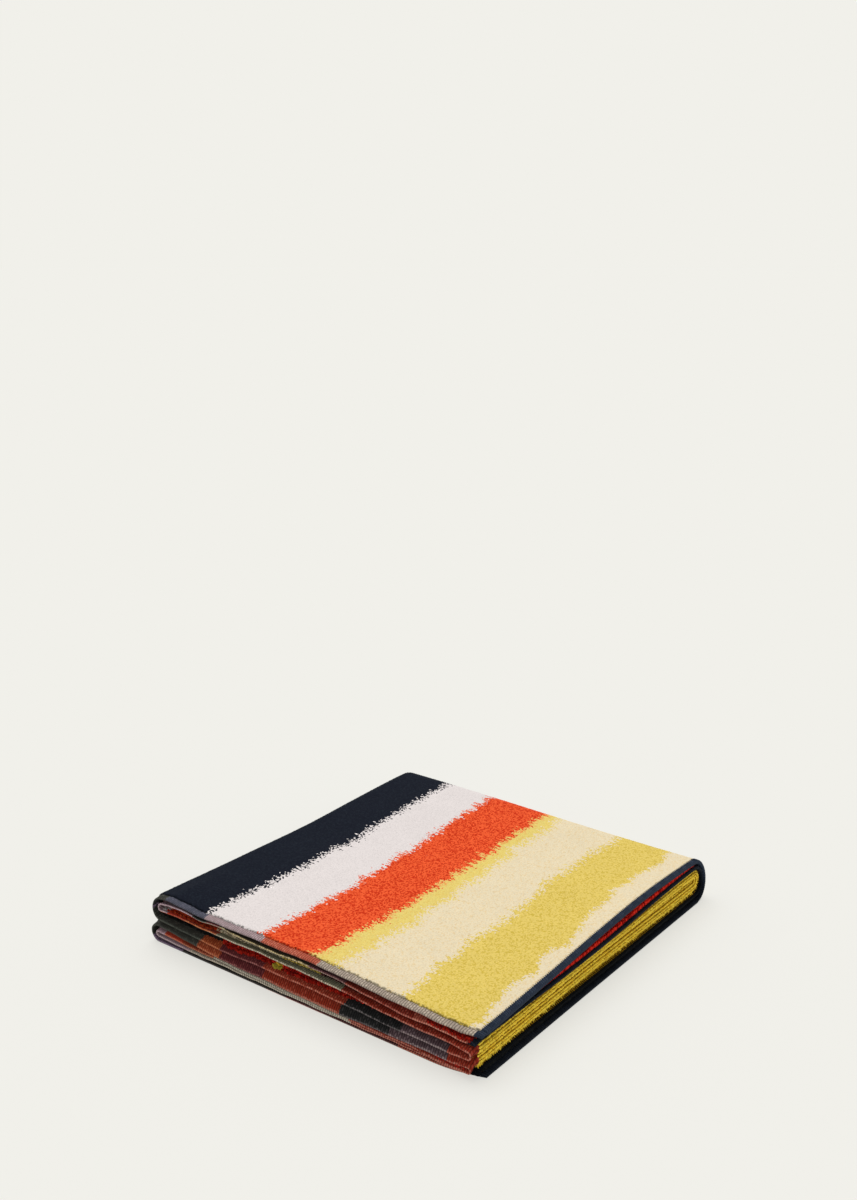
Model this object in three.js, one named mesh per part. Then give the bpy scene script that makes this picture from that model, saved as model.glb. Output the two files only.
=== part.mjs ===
// Bath sheet of striped cotton terry, lying folded: in half crosswise, in half crosswise again,
// and then in half lengthwise. Millimetres, +Z up.
// Before the origin is moved to the middle of the base, X runs across the stripes from the left
// folds (0) to the hems, and Y runs along the stripes from the open selvages (0) to the
// lengthwise fold.
//
// The cloth is one sheet. Its crosswise folds give four layers, counted from the outside in:
// outer (ends in the top hem), tucked (ends in the hem under it), inner and core. The lengthwise
// fold turns the four of them over, so that there are eight in the stack.

import * as THREE from 'three'

// Driving dimensions
const FOLDED_LENGTH = 376
const FOLDED_WIDTH = 400
const CLOTH = 4.1
const SELVAGE = 1.8
const SELVAGE_WIDTH = 6.5
const HEM = 2.2
const HEM_WIDTH = 2.7
const PILE_SLOPE = 0.9
const SELVAGE_DROOP = 0.6
const CLEARANCE = 0.5
const TURN_RADIUS = 24

// How finely the runs and the turns are divided
const RUN_STEPS = 10
const WIDE_TURN_STEPS = 8
const TIGHT_TURN_STEPS = 6
const LENGTHWISE_TURN_STEPS = 8

// Air between the layers beyond CLEARANCE, at the left folds and at the hems, and the half of the
// gap between the upper and the lower four layers. One row for each section along the cloth's
// width, from the upper open edge round the lengthwise fold to the lower open edge.
const AIR = [
  { section: 'upper front', outer: [1.9, 0.4], tucked: [1.4, 0.2], inner: [2.0, 0.3], half: [0.3, 0.3] },
  { section: 'upper middle', outer: [1.2, 0.4], tucked: [0.9, 0.3], inner: [0.8, 0.4], half: [1.4, 0.8] },
  { section: 'upper back', outer: [1.2, 0.2], tucked: [0.9, 0.2], inner: [1.0, 0.3], half: [4.0, 2.3] },
  { section: 'lower back', outer: [0.7, 0.4], tucked: [0.6, 0.3], inner: [0.8, 0.5], half: [4.0, 2.3] },
  { section: 'lower middle', outer: [0.9, 0.3], tucked: [0.9, 0.2], inner: [0.9, 0.3], half: [1.4, 0.8] },
  { section: 'lower front', outer: [1.2, 0.2], tucked: [1.1, 0.2], inner: [1.5, 0.3], half: [0.3, 0.3] },
]

// Where each fold and hem ends along X, in the same six sections: the two folds from the left
// end of the stack, the crease and the hems from its right end
const ENDS = [
  { section: 'upper front', wideFold: 3, tightFold: 5, crease: -5, topHem: -2.8, tuckedHem: -5.5 },
  { section: 'upper middle', wideFold: 2, tightFold: 4, crease: -6.5, topHem: -2.8, tuckedHem: -1.5 },
  { section: 'upper back', wideFold: 1, tightFold: 2, crease: -5, topHem: -5, tuckedHem: -3.5 },
  { section: 'lower back', wideFold: 0, tightFold: 1, crease: -5, topHem: 0.5, tuckedHem: -2 },
  { section: 'lower middle', wideFold: 0, tightFold: 1, crease: -6.5, topHem: 0.5, tuckedHem: -2 },
  { section: 'lower front', wideFold: 1, tightFold: 2, crease: -5, topHem: 1, tuckedHem: -3 },
]

// Places where a layer lifts off the one inside it. u and v are the crown of the lift, along X
// and Y, and reach is how far it spreads each way.
const LIFTS = [
  { side: 'upper', layer: 'outer', u: 376, v: 255, reachU: 190, reachV: 150, rise: 5.5 },
  { side: 'upper', layer: 'outer', u: 376, v: 150, reachU: 190, reachV: 140, rise: 3.0 },
  { side: 'upper', layer: 'tucked', u: 376, v: 255, reachU: 190, reachV: 150, rise: 1.5 },
  { side: 'upper', layer: 'inner', u: 215, v: 0, reachU: 150, reachV: 80, rise: 2.4 },
]

// How far each layer's open edge stands back from the foremost one along Y, and how much further
// it is drawn in where it meets the left folds and the hems
const EDGES = {
  upper: {
    outer: { back: 1.0, atFold: 4, atHem: 9 },
    tucked: { back: 1.5, atFold: 4, atHem: 2 },
    inner: { back: 1.0, atFold: 3, atHem: -3.5 },
    core: { back: 0.5, atFold: 2, atHem: -3 },
  },
  lower: {
    core: { back: 0.5, atFold: 1, atHem: -3 },
    inner: { back: 1.0, atFold: 0, atHem: -3.5 },
    tucked: { back: 1.5, atFold: 0, atHem: 3 },
    outer: { back: 1.3, atFold: 0, atHem: 8.5 },
  },
}
const DRAWN_IN_REACH = 47
const EDGE_FADE = 60

const SIDE_SECTIONS = { upper: [0, 1, 2], lower: [5, 4, 3] }

const mix = (a, b, t) => a + (b - a) * t
const smooth = (t) => t * t * (3 - 2 * t)
const clamp01 = (t) => Math.min(1, Math.max(0, t))

const TURN_START = FOLDED_WIDTH - TURN_RADIUS

// A value from a table row that holds a left and a right number
function acrossLength(pair, u) {
  return mix(pair[0], pair[1], smooth(clamp01(u / FOLDED_LENGTH)))
}

// Reads one column of a table at a place on the upper or lower side of the stack
function alongWidth(table, side, v, read) {
  const [front, middle, back] = SIDE_SECTIONS[side].map((row) => read(table[row]))
  const t = clamp01(v / TURN_START)
  if (t < 0.5) return mix(front, middle, smooth(t * 2))
  return mix(middle, back, smooth(t * 2 - 1))
}

function lift(side, layer, u, v) {
  let rise = 0
  for (const row of LIFTS) {
    if (row.side !== side || row.layer !== layer) continue
    const across = clamp01(1 - Math.abs(u - row.u) / row.reachU)
    const along = clamp01(1 - Math.abs(v - row.v) / row.reachV)
    rise += row.rise * smooth(across) * smooth(along)
  }
  return rise
}

// Heights of the middle of each layer above the plane between the upper and lower halves
function heightsOnSide(side, u, v) {
  const air = (layer) => alongWidth(AIR, side, v, (row) => acrossLength(row[layer], u))
  const core = air('half') + CLOTH / 2
  const inner = core + CLOTH + CLEARANCE + air('inner') + lift(side, 'inner', u, v)
  const tucked = inner + CLOTH + CLEARANCE + air('tucked') + lift(side, 'tucked', u, v)
  const outer = tucked + CLOTH + CLEARANCE + air('outer') + lift(side, 'outer', u, v)
  return { core, inner, tucked, outer }
}

function endsOnSide(side, v) {
  const end = (name) => alongWidth(ENDS, side, v, (row) => row[name])
  return {
    wideFold: end('wideFold'),
    tightFold: end('tightFold'),
    crease: FOLDED_LENGTH + end('crease'),
    topHem: FOLDED_LENGTH + end('topHem'),
    tuckedHem: FOLDED_LENGTH + end('tuckedHem'),
  }
}

const blend = (a, b, t) => Object.fromEntries(Object.keys(a).map((key) => [key, mix(a[key], b[key], t)]))

// A station is one crosswise section of the cloth. turned runs from 0 on the upper half to 1 on
// the lower half, and v is the place along Y of a section on a flat half.
function heightsAt(station, u) {
  const upper = heightsOnSide('upper', u, station.v)
  const lower = heightsOnSide('lower', u, station.v)
  return blend(upper, lower, smooth(station.turned))
}

function endsAt(station) {
  return blend(endsOnSide('upper', station.v), endsOnSide('lower', station.v), smooth(station.turned))
}

// Sections on a flat half: the bare selvage, the step up to the pile, and even steps to the turn
function flatStations(turned) {
  const edge = [0, SELVAGE_WIDTH, SELVAGE_WIDTH + PILE_SLOPE]
  const even = [40, 85, 135, 190, 245, 295, 332]
  const places = [...edge, ...even, TURN_START]
  return places.map((v, index) => ({ v, turned, bare: index < 2, open: index === 0 }))
}

function turnStations() {
  const list = []
  for (let step = 1; step < LENGTHWISE_TURN_STEPS; step += 1) {
    list.push({ v: TURN_START, turned: step / LENGTHWISE_TURN_STEPS, bare: false, open: false })
  }
  return list
}

// Points of a straight run from one place along X to another. face is +1 where the cloth's right
// side looks away from the middle plane, and hemAt names the end that carries a hem.
function runPoints(layer, from, to, face, hemAt) {
  const direction = Math.sign(to - from)
  const hemPlaces = [0, HEM_WIDTH, HEM_WIDTH + PILE_SLOPE]
  const start = hemAt === 'start' ? from + direction * hemPlaces[2] : from
  const end = hemAt === 'end' ? to - direction * hemPlaces[2] : to
  const points = []
  const add = (u, hem) => points.push({ layer, u, face, hem })
  if (hemAt === 'start') {
    add(from, true)
    add(from + direction * HEM_WIDTH, true)
  }
  for (let step = 0; step <= RUN_STEPS; step += 1) {
    const closerAtEnds = (1 - Math.cos((Math.PI * step) / RUN_STEPS)) / 2
    add(mix(start, end, closerAtEnds), false)
  }
  if (hemAt === 'end') {
    add(to - direction * HEM_WIDTH, true)
    add(to, true)
  }
  return points
}

// Points of a turn between two layers, bulging to the left (-1) or to the right (+1)
function turnPoints(fromLayer, toLayer, u, bulge, faceOut, steps) {
  const points = []
  for (let step = 1; step < steps; step += 1) {
    points.push({ fromLayer, toLayer, u, bulge, faceOut, angle: (Math.PI * step) / steps })
  }
  return points
}

// The whole crosswise section, from the top hem to the tucked hem
function sectionPoints(station) {
  const ends = endsAt(station)
  const left = heightsAt(station, 0)
  const right = heightsAt(station, FOLDED_LENGTH)
  const wideRadius = (left.outer - left.core) / 2
  const tightRadius = (left.tucked - left.inner) / 2
  const creaseRadius = (right.inner - right.core) / 2
  const wideU = ends.wideFold + wideRadius + CLOTH / 2
  const tightU = Math.max(wideU, ends.tightFold + tightRadius + CLOTH / 2)
  const creaseU = ends.crease - creaseRadius - CLOTH / 2
  return [
    ...runPoints('outer', ends.topHem, wideU, 1, 'start'),
    ...turnPoints('outer', 'core', wideU, -1, true, WIDE_TURN_STEPS),
    ...runPoints('core', wideU, creaseU, -1, 'none'),
    ...turnPoints('core', 'inner', creaseU, 1, true, TIGHT_TURN_STEPS),
    ...runPoints('inner', creaseU, tightU, 1, 'none'),
    ...turnPoints('inner', 'tucked', tightU, -1, false, TIGHT_TURN_STEPS),
    ...runPoints('tucked', tightU, ends.tuckedHem, -1, 'end'),
  ]
}

function halfThickness(point, station) {
  if (station.bare) return SELVAGE / 2
  if (point.hem) return HEM / 2
  return CLOTH / 2
}

// Middle of the cloth and direction of its right side, in the plane of the crosswise section
function middleOf(point, station) {
  const heights = heightsAt(station, point.u)
  if (point.layer) {
    return { u: point.u, w: heights[point.layer], faceU: 0, faceW: point.face }
  }
  const from = heights[point.fromLayer]
  const to = heights[point.toLayer]
  const radius = Math.abs(from - to) / 2
  const outU = point.bulge * Math.sin(point.angle)
  const outW = Math.sign(from - to) * Math.cos(point.angle)
  const sign = point.faceOut ? 1 : -1
  return {
    u: point.u + radius * outU,
    w: (from + to) / 2 + radius * outW,
    faceU: sign * outU,
    faceW: sign * outW,
  }
}

function edgeOfLayer(side, layer, u) {
  const row = EDGES[side][layer]
  const toFold = clamp01(1 - u / DRAWN_IN_REACH)
  const toHem = clamp01(1 - (FOLDED_LENGTH - u) / DRAWN_IN_REACH)
  return row.back + row.atFold * toFold ** 2 + row.atHem * toHem ** 2
}

function setback(point, station) {
  const side = station.turned < 0.5 ? 'upper' : 'lower'
  const fade = smooth(clamp01(1 - station.v / EDGE_FADE))
  if (point.layer) return fade * edgeOfLayer(side, point.layer, point.u)
  const from = edgeOfLayer(side, point.fromLayer, point.u)
  const to = edgeOfLayer(side, point.toLayer, point.u)
  return fade * mix(from, to, (1 - Math.cos(point.angle)) / 2)
}

// How far a point sinks below its place in the pile. The lowest layer's hem and selvage lie on the
// base, and the other selvages droop at their open edge, but for the hems' corners.
function sink(point, station, half) {
  const toBase = CLOTH / 2 - half
  const toDroop = station.open && !point.hem ? SELVAGE_DROOP : 0
  const ofLayer = (layer) => (station.turned === 1 && layer === 'outer' ? toBase : toDroop)
  if (point.layer) return ofLayer(point.layer)
  const share = (1 - Math.cos(point.angle)) / 2
  return mix(ofLayer(point.fromLayer), ofLayer(point.toLayer), share)
}

// Lays a point of the section into the stack. The lower half rests on the base, the upper half
// lies on it, and the turn between them goes round a line along X.
function place(point, station, side) {
  const half = halfThickness(point, station)
  const middle = middleOf(point, station)
  const u = middle.u + side * half * middle.faceU
  const w = middle.w + side * half * middle.faceW
  const planeHeight = heightsOnSide('lower', point.u, station.v).outer + CLOTH / 2
  const angle = Math.PI * station.turned
  const y = station.v + setback(point, station) + w * Math.sin(angle)
  const z = planeHeight + w * Math.cos(angle) - sink(point, station, half)
  return [u, y, z]
}

function foldedSheet() {
  const stations = [...flatStations(0), ...turnStations(), ...flatStations(1).reverse()]
  const positions = []
  let count = 0
  for (const station of stations) {
    const section = sectionPoints(station)
    count = section.length
    for (const side of [1, -1]) {
      for (const point of section) positions.push(...place(point, station, side))
    }
  }

  const triangles = []
  const vertex = (row, side, column) => (row * 2 + side) * count + column
  const quad = (a, b, c, d) => triangles.push(a, b, c, a, c, d)
  const rows = stations.length
  for (let row = 0; row + 1 < rows; row += 1) {
    for (let column = 0; column + 1 < count; column += 1) {
      const next = column + 1
      quad(vertex(row, 0, column), vertex(row + 1, 0, column), vertex(row + 1, 0, next), vertex(row, 0, next))
      quad(vertex(row, 1, column), vertex(row, 1, next), vertex(row + 1, 1, next), vertex(row + 1, 1, column))
    }
    const last = count - 1
    quad(vertex(row, 0, 0), vertex(row, 1, 0), vertex(row + 1, 1, 0), vertex(row + 1, 0, 0))
    quad(vertex(row, 0, last), vertex(row + 1, 0, last), vertex(row + 1, 1, last), vertex(row, 1, last))
  }
  for (let column = 0; column + 1 < count; column += 1) {
    const next = column + 1
    const end = rows - 1
    quad(vertex(0, 0, column), vertex(0, 0, next), vertex(0, 1, next), vertex(0, 1, column))
    quad(vertex(end, 0, column), vertex(end, 1, column), vertex(end, 1, next), vertex(end, 0, next))
  }

  const geometry = new THREE.BufferGeometry()
  geometry.setAttribute('position', new THREE.Float32BufferAttribute(positions, 3))
  geometry.setIndex(triangles)
  geometry.computeBoundingBox()
  const box = geometry.boundingBox
  const middle = box.getCenter(new THREE.Vector3())
  geometry.translate(-middle.x, -middle.y, -box.min.z)
  return geometry
}

const terry = new THREE.MeshStandardMaterial({ color: 0xf0deb4, roughness: 0.95, metalness: 0 })
const sheet = new THREE.Mesh(foldedSheet(), terry)
sheet.name = 'bath_sheet'

const model = new THREE.Group()
model.name = 'folded_bath_sheet'
model.add(sheet)

export default model
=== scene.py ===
"""Folded bath sheet: the cloth, its pile, loops, hems and stage, laid out as an add-on.

Run as a script. Sizes in the tables are in millimetres; Blender's are in metres. Two places name
a point of the cloth: s runs along its length from the top hem, and t across its width from the
upper open selvage, round the lengthwise fold, to the lower one.
"""

import math

import bpy
import numpy as np
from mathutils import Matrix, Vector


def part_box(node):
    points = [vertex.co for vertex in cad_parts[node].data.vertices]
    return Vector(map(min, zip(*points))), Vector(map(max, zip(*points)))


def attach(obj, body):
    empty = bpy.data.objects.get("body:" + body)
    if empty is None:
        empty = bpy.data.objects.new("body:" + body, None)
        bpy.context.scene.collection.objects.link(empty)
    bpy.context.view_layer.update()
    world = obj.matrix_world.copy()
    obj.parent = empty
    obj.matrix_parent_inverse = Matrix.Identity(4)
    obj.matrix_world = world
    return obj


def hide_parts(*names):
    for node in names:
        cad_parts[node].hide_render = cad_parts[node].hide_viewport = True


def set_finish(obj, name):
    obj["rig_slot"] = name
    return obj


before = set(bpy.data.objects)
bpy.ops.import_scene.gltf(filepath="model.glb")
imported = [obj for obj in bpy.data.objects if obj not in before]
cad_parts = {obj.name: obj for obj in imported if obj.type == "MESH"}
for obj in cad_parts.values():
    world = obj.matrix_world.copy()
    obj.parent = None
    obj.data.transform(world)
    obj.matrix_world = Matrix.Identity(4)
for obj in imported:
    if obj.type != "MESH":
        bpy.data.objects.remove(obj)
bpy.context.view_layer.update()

bl_info = {
    "name": "Folded bath sheet",
    "version": (1, 0, 0),
    "blender": (4, 5, 0),
    "location": "3D View > Sidebar > Bath sheet",
    "description": "A striped cotton bath sheet lying folded in eight layers",
    "category": "Object",
}

MM = 0.001

# The folded cloth. Its hems are thicker and wider than the solid's, and its other sizes are the
# solid's own.
FOLDED_LENGTH = 376.0
FOLDED_WIDTH = 400.0
CLOTH = 4.1
SELVAGE = 1.8
SELVAGE_WIDTH = 6.5
TOP_HEM = 3.9
HEM = 2.4
HEM_WIDTH = 4.8
TUCKED_HEM_WIDTH = 3.3
TUCKED_HEM_SHARE = 0.65
PILE_SLOPE = 0.9
CLEARANCE = 0.5
TURN_RADIUS = 24.0
TURN_START = FOLDED_WIDTH - TURN_RADIUS
DRAWN_IN_REACH = 47.0
EDGE_FADE = 60.0
HEM_REACH = HEM_WIDTH + PILE_SLOPE
PILE_EDGE = SELVAGE_WIDTH + PILE_SLOPE

# Length of the lengthwise fold's arc, and the cloth's width and length, as the colours count them
FOLD_ARC = 75.0
CLOTH_WIDTH = 2 * TURN_START + FOLD_ARC
CLOTH_LENGTH = 1500.0

# Length of a run as the loops and the pile count it, and the girth of the lengthwise fold
LOOP_RUN = 352.0
PILE_RUN = 355.0
FOLD_GIRTH = 80.0

# Stands for the distance to a selvage or to a hem's end where none is near
FAR = 99.0

# The lowest that the pile, the tufts and the middle lines of the stitches come over the floor
PILE_LOW = 0.02
TUFT_LOW = 0.03
STITCH_LOW = 0.4

# Sections along the width, from the upper open edge round the fold to the lower open edge.
# Air between layers: (at the left folds, at the hems).
AIR = {
    "outer": [(1.9, 0.4), (1.2, 0.4), (1.2, 0.2), (0.7, 0.4), (0.9, 0.3), (1.2, 0.2)],
    "tucked": [(1.4, 0.2), (0.9, 0.3), (0.9, 0.2), (0.6, 0.3), (0.9, 0.2), (1.1, 0.2)],
    "inner": [(2.0, 0.3), (0.8, 0.4), (1.0, 0.3), (0.8, 0.5), (0.9, 0.3), (1.5, 0.3)],
    "half": [(0.3, 0.3), (1.4, 0.8), (4.0, 2.3), (4.0, 2.3), (1.4, 0.8), (0.3, 0.3)],
}
ENDS = {
    "wide_fold": [3, 2, 1, 0, 0, 1],
    "tight_fold": [5, 4, 2, 1, 1, 2],
    "crease": [-5, -6.5, -5, -5, -6.5, -5],
    "top_hem": [-2.8, -2.8, -5, 0.5, 0.5, 1],
    "tucked_hem": [-5.5, -1.5, -3.5, -2, -2, -3],
}
SIDE_SECTIONS = {"upper": (0, 1, 2), "lower": (5, 4, 3)}

# Where a layer lifts off the one inside it: layer, crown u, crown v, reach u, reach v, rise
LIFTS = [
    ("outer", 376, 255, 190, 150, 5.5),
    ("outer", 376, 150, 190, 140, 3.0),
    ("tucked", 376, 255, 190, 150, 1.5),
    ("inner", 215, 0, 150, 80, 2.4),
]

# Each layer's open edge: set back, further at the left folds, further at the hems
EDGES = {
    ("upper", "outer"): (1.0, 4, 9),
    ("upper", "tucked"): (1.5, 4, 2),
    ("upper", "inner"): (1.0, 3, -3.5),
    ("upper", "core"): (0.5, 2, -3),
    ("lower", "core"): (0.5, 1, -3),
    ("lower", "inner"): (1.0, 0, -3.5),
    ("lower", "tucked"): (1.5, 0, 3),
    ("lower", "outer"): (1.3, 0, 8.5),
}

# The section in order from the top hem. Runs: layer and the way its right side looks.
# Turns: from layer, to layer, the way it bulges, and 1 where the right side is outside.
RUNS = {
    "top hem": ("outer", 1),
    "outer": ("outer", 1),
    "core": ("core", -1),
    "inner": ("inner", 1),
    "tucked": ("tucked", -1),
    "tucked hem": ("tucked", -1),
}
TURNS = {
    "wide": ("outer", "core", -1, 1),
    "crease": ("core", "inner", 1, 1),
    "tight": ("inner", "tucked", -1, -1),
}

# How far each open edge hangs, at these places along u
DROOP_PLACES = (0, 20, 50, 92, 140, 212, 305, 345, 376)
DROOPS = {
    ("upper", "outer"): (0.6, 0.8, 1.0, 1.2, 1.3, 1.3, 1.2, 1.0, 0.8),
    ("upper", "tucked"): (0.5, -1.0, -2.1, -2.6, 0.3, -0.3, 3.9, 1.9, 1.6),
    ("upper", "inner"): (0.5, -1.2, -2.4, -1.3, -1.2, 0.6, 3.7, 2.3, 1.8),
    ("upper", "core"): (1.0, 1.5, 2.0, 4.5, 3.4, 3.2, 5.4, 5.2, 3.0),
    ("lower", "core"): (1.6, 3.0, 5.3, 8.7, 9.2, 10.3, 8.3, 8.0, 5.0),
    ("lower", "inner"): (1.6, 3.0, 4.9, 5.5, 6.8, 7.6, 6.2, 8.0, 5.5),
    ("lower", "tucked"): (1.2, 2.4, 3.9, 3.5, 4.0, 4.3, 3.7, 4.5, 3.5),
    ("lower", "outer"): (0.0,) * 9,
}
DROOP_REACH = 8.6

# Rise of the upper open edges along u, which fades over a reach across the width, and each
# layer's share of it
EDGE_RISE = [(0, 0.3), (12, 1.0), (30, 3.6), (50, 3.2), (68, 1.6), (92, 2.8), (165, 3.2)]
EDGE_RISE += [(200, 3.8), (320, 3.2), (345, 2.2), (360, 0), (376, -1.3)]
EDGE_RISE_REACH = 130
EDGE_RISE_SHARES = {"outer": 1.0, "tucked": 0.85, "inner": 0.3}

# Gentle waves of the layers: height, length along the edge, phase, how far in from the edge
EDGE_WAVES = {
    "outer": [(0.22, 61, 0.4, 30), (0.12, 23, 1.9, 8)],
    "tucked": [(0.30, 47, 2.1, 14), (0.16, 19, 0.3, 8)],
    "inner": [(0.30, 53, 4.0, 14), (0.14, 21, 2.7, 8)],
    "core": [(0.26, 58, 5.2, 14), (0.12, 17, 1.2, 8)],
}
# Swells of the top face: height, direction along u and v in waves per metre, phase
TOP_SWELLS = [(0.35, 6.1, 2.3, 0.3), (0.28, -3.1, 7.4, 1.7), (0.20, 11.3, 5.2, 4.1)]


def mix(a, b, t):
    return a + (b - a) * t


def smooth(t):
    return t * t * (3 - 2 * t)


def clamp01(t):
    return np.clip(t, 0.0, 1.0)


def is_flat(turned):
    """True on the two flat halves, and not in the turn of the lengthwise fold."""
    return (turned == 0) | (turned == 1)


def along_width(values, side, v):
    """Reads three of a table's six sections along one side of the stack."""
    front, middle, back = (values[row] for row in SIDE_SECTIONS[side])
    t = clamp01(v / TURN_START)
    near = mix(front, middle, smooth(clamp01(t * 2)))
    far = mix(middle, back, smooth(clamp01(t * 2 - 1)))
    return np.where(t < 0.5, near, far)


def eased(x, table):
    """Reads a table of (place, value) with a soft change from one row to the next."""
    places = np.array([row[0] for row in table], float)
    values = np.array([row[1] for row in table], float)
    x = np.clip(x, places[0], places[-1])
    row = np.clip(np.searchsorted(places, x, side="right") - 1, 0, len(places) - 2)
    share = (x - places[row]) / (places[row + 1] - places[row])
    return mix(values[row], values[row + 1], smooth(share))


def air_on_side(layer, side, u, v):
    share = smooth(clamp01(u / FOLDED_LENGTH))
    return along_width([mix(*row, share) for row in AIR[layer]], side, v)


def lift(layer, u, v):
    rise = 0.0
    for name, at_u, at_v, reach_u, reach_v, height in LIFTS:
        if name != layer:
            continue
        across = clamp01(1 - np.abs(u - at_u) / reach_u)
        along = clamp01(1 - np.abs(v - at_v) / reach_v)
        rise = rise + height * smooth(across) * smooth(along)
    return rise


def heights_on_side(side, u, v):
    """Height of the middle of each layer above the plane between the two halves."""
    heights = {"core": air_on_side("half", side, u, v) + CLOTH / 2}
    below = heights["core"]
    for layer in ("inner", "tucked", "outer"):
        below = below + CLOTH + CLEARANCE + air_on_side(layer, side, u, v)
        if side == "upper":
            below = below + lift(layer, u, v)
        heights[layer] = below
    if side == "upper":
        rise = eased(u, EDGE_RISE) * smooth(clamp01(1 - v / EDGE_RISE_REACH))
        for layer, share in EDGE_RISE_SHARES.items():
            heights[layer] = heights[layer] + rise * share
    return heights


def heights_at(u, v, turned):
    upper = heights_on_side("upper", u, v)
    lower = heights_on_side("lower", u, v)
    return {layer: mix(upper[layer], lower[layer], smooth(turned)) for layer in upper}


def span_ends(v, turned):
    """Where the runs and turns of the section begin and end along X, and the turns' radii."""
    share = smooth(turned)
    ends = {
        name: mix(along_width(row, "upper", v), along_width(row, "lower", v), share)
        for name, row in ENDS.items()
    }
    left = heights_at(0.0, v, turned)
    right = heights_at(FOLDED_LENGTH, v, turned)
    wide = (left["outer"] - left["core"]) / 2
    tight = (left["tucked"] - left["inner"]) / 2
    crease = (right["inner"] - right["core"]) / 2
    wide_u = ends["wide_fold"] + wide + CLOTH / 2
    return {
        "top_hem": FOLDED_LENGTH + ends["top_hem"],
        "tucked_hem": FOLDED_LENGTH + ends["tucked_hem"],
        "wide": wide_u,
        "tight": np.maximum(wide_u, ends["tight_fold"] + tight + CLOTH / 2),
        "crease": FOLDED_LENGTH + ends["crease"] - crease - CLOTH / 2,
        "wide_radius": wide,
        "tight_radius": tight,
        "crease_radius": crease,
    }


def edge_of_layer(side, layer, u):
    back, at_fold, at_hem = EDGES[(side, layer)]
    to_fold = clamp01(1 - u / DRAWN_IN_REACH)
    to_hem = clamp01(1 - (FOLDED_LENGTH - u) / DRAWN_IN_REACH)
    return back + at_fold * to_fold**2 + at_hem * to_hem**2


def edge_droop(layer, u, v, turned):
    """How far a bare selvage hangs below its layer."""
    upper = eased(u, list(zip(DROOP_PLACES, DROOPS[("upper", layer)])))
    lower = eased(u, list(zip(DROOP_PLACES, DROOPS[("lower", layer)])))
    hang = clamp01(1 - v / DROOP_REACH) ** 1.4
    return np.where(turned < 0.5, upper, lower) * hang * is_flat(turned)


def edge_wave(layer, u, v, turned):
    """A slight rise and fall of each open edge, which fades inwards."""
    wave = 0.0
    ends = smooth(clamp01(u / 30)) * smooth(clamp01((FOLDED_LENGTH - u) / 30))
    for height, length, phase, reach in EDGE_WAVES[layer]:
        turn = 2 * math.pi * u / length + phase + 2.4 * turned
        wave = wave + height * np.sin(turn) * smooth(clamp01(1 - v / reach)) * ends
    return wave * is_flat(turned)


def top_swell(u, v, turned):
    swell = 0.0
    for height, per_u, per_v, phase in TOP_SWELLS:
        swell = swell + height * np.sin(2 * math.pi * (per_u * u + per_v * v) * MM + phase)
    inside = smooth(clamp01(v / 40)) * smooth(clamp01((TURN_START - v) / 60))
    right = smooth(clamp01((FOLDED_LENGTH - u) / 40)) * smooth(clamp01(u / 30))
    return np.where(turned == 0, swell * inside * right, 0.0)


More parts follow.
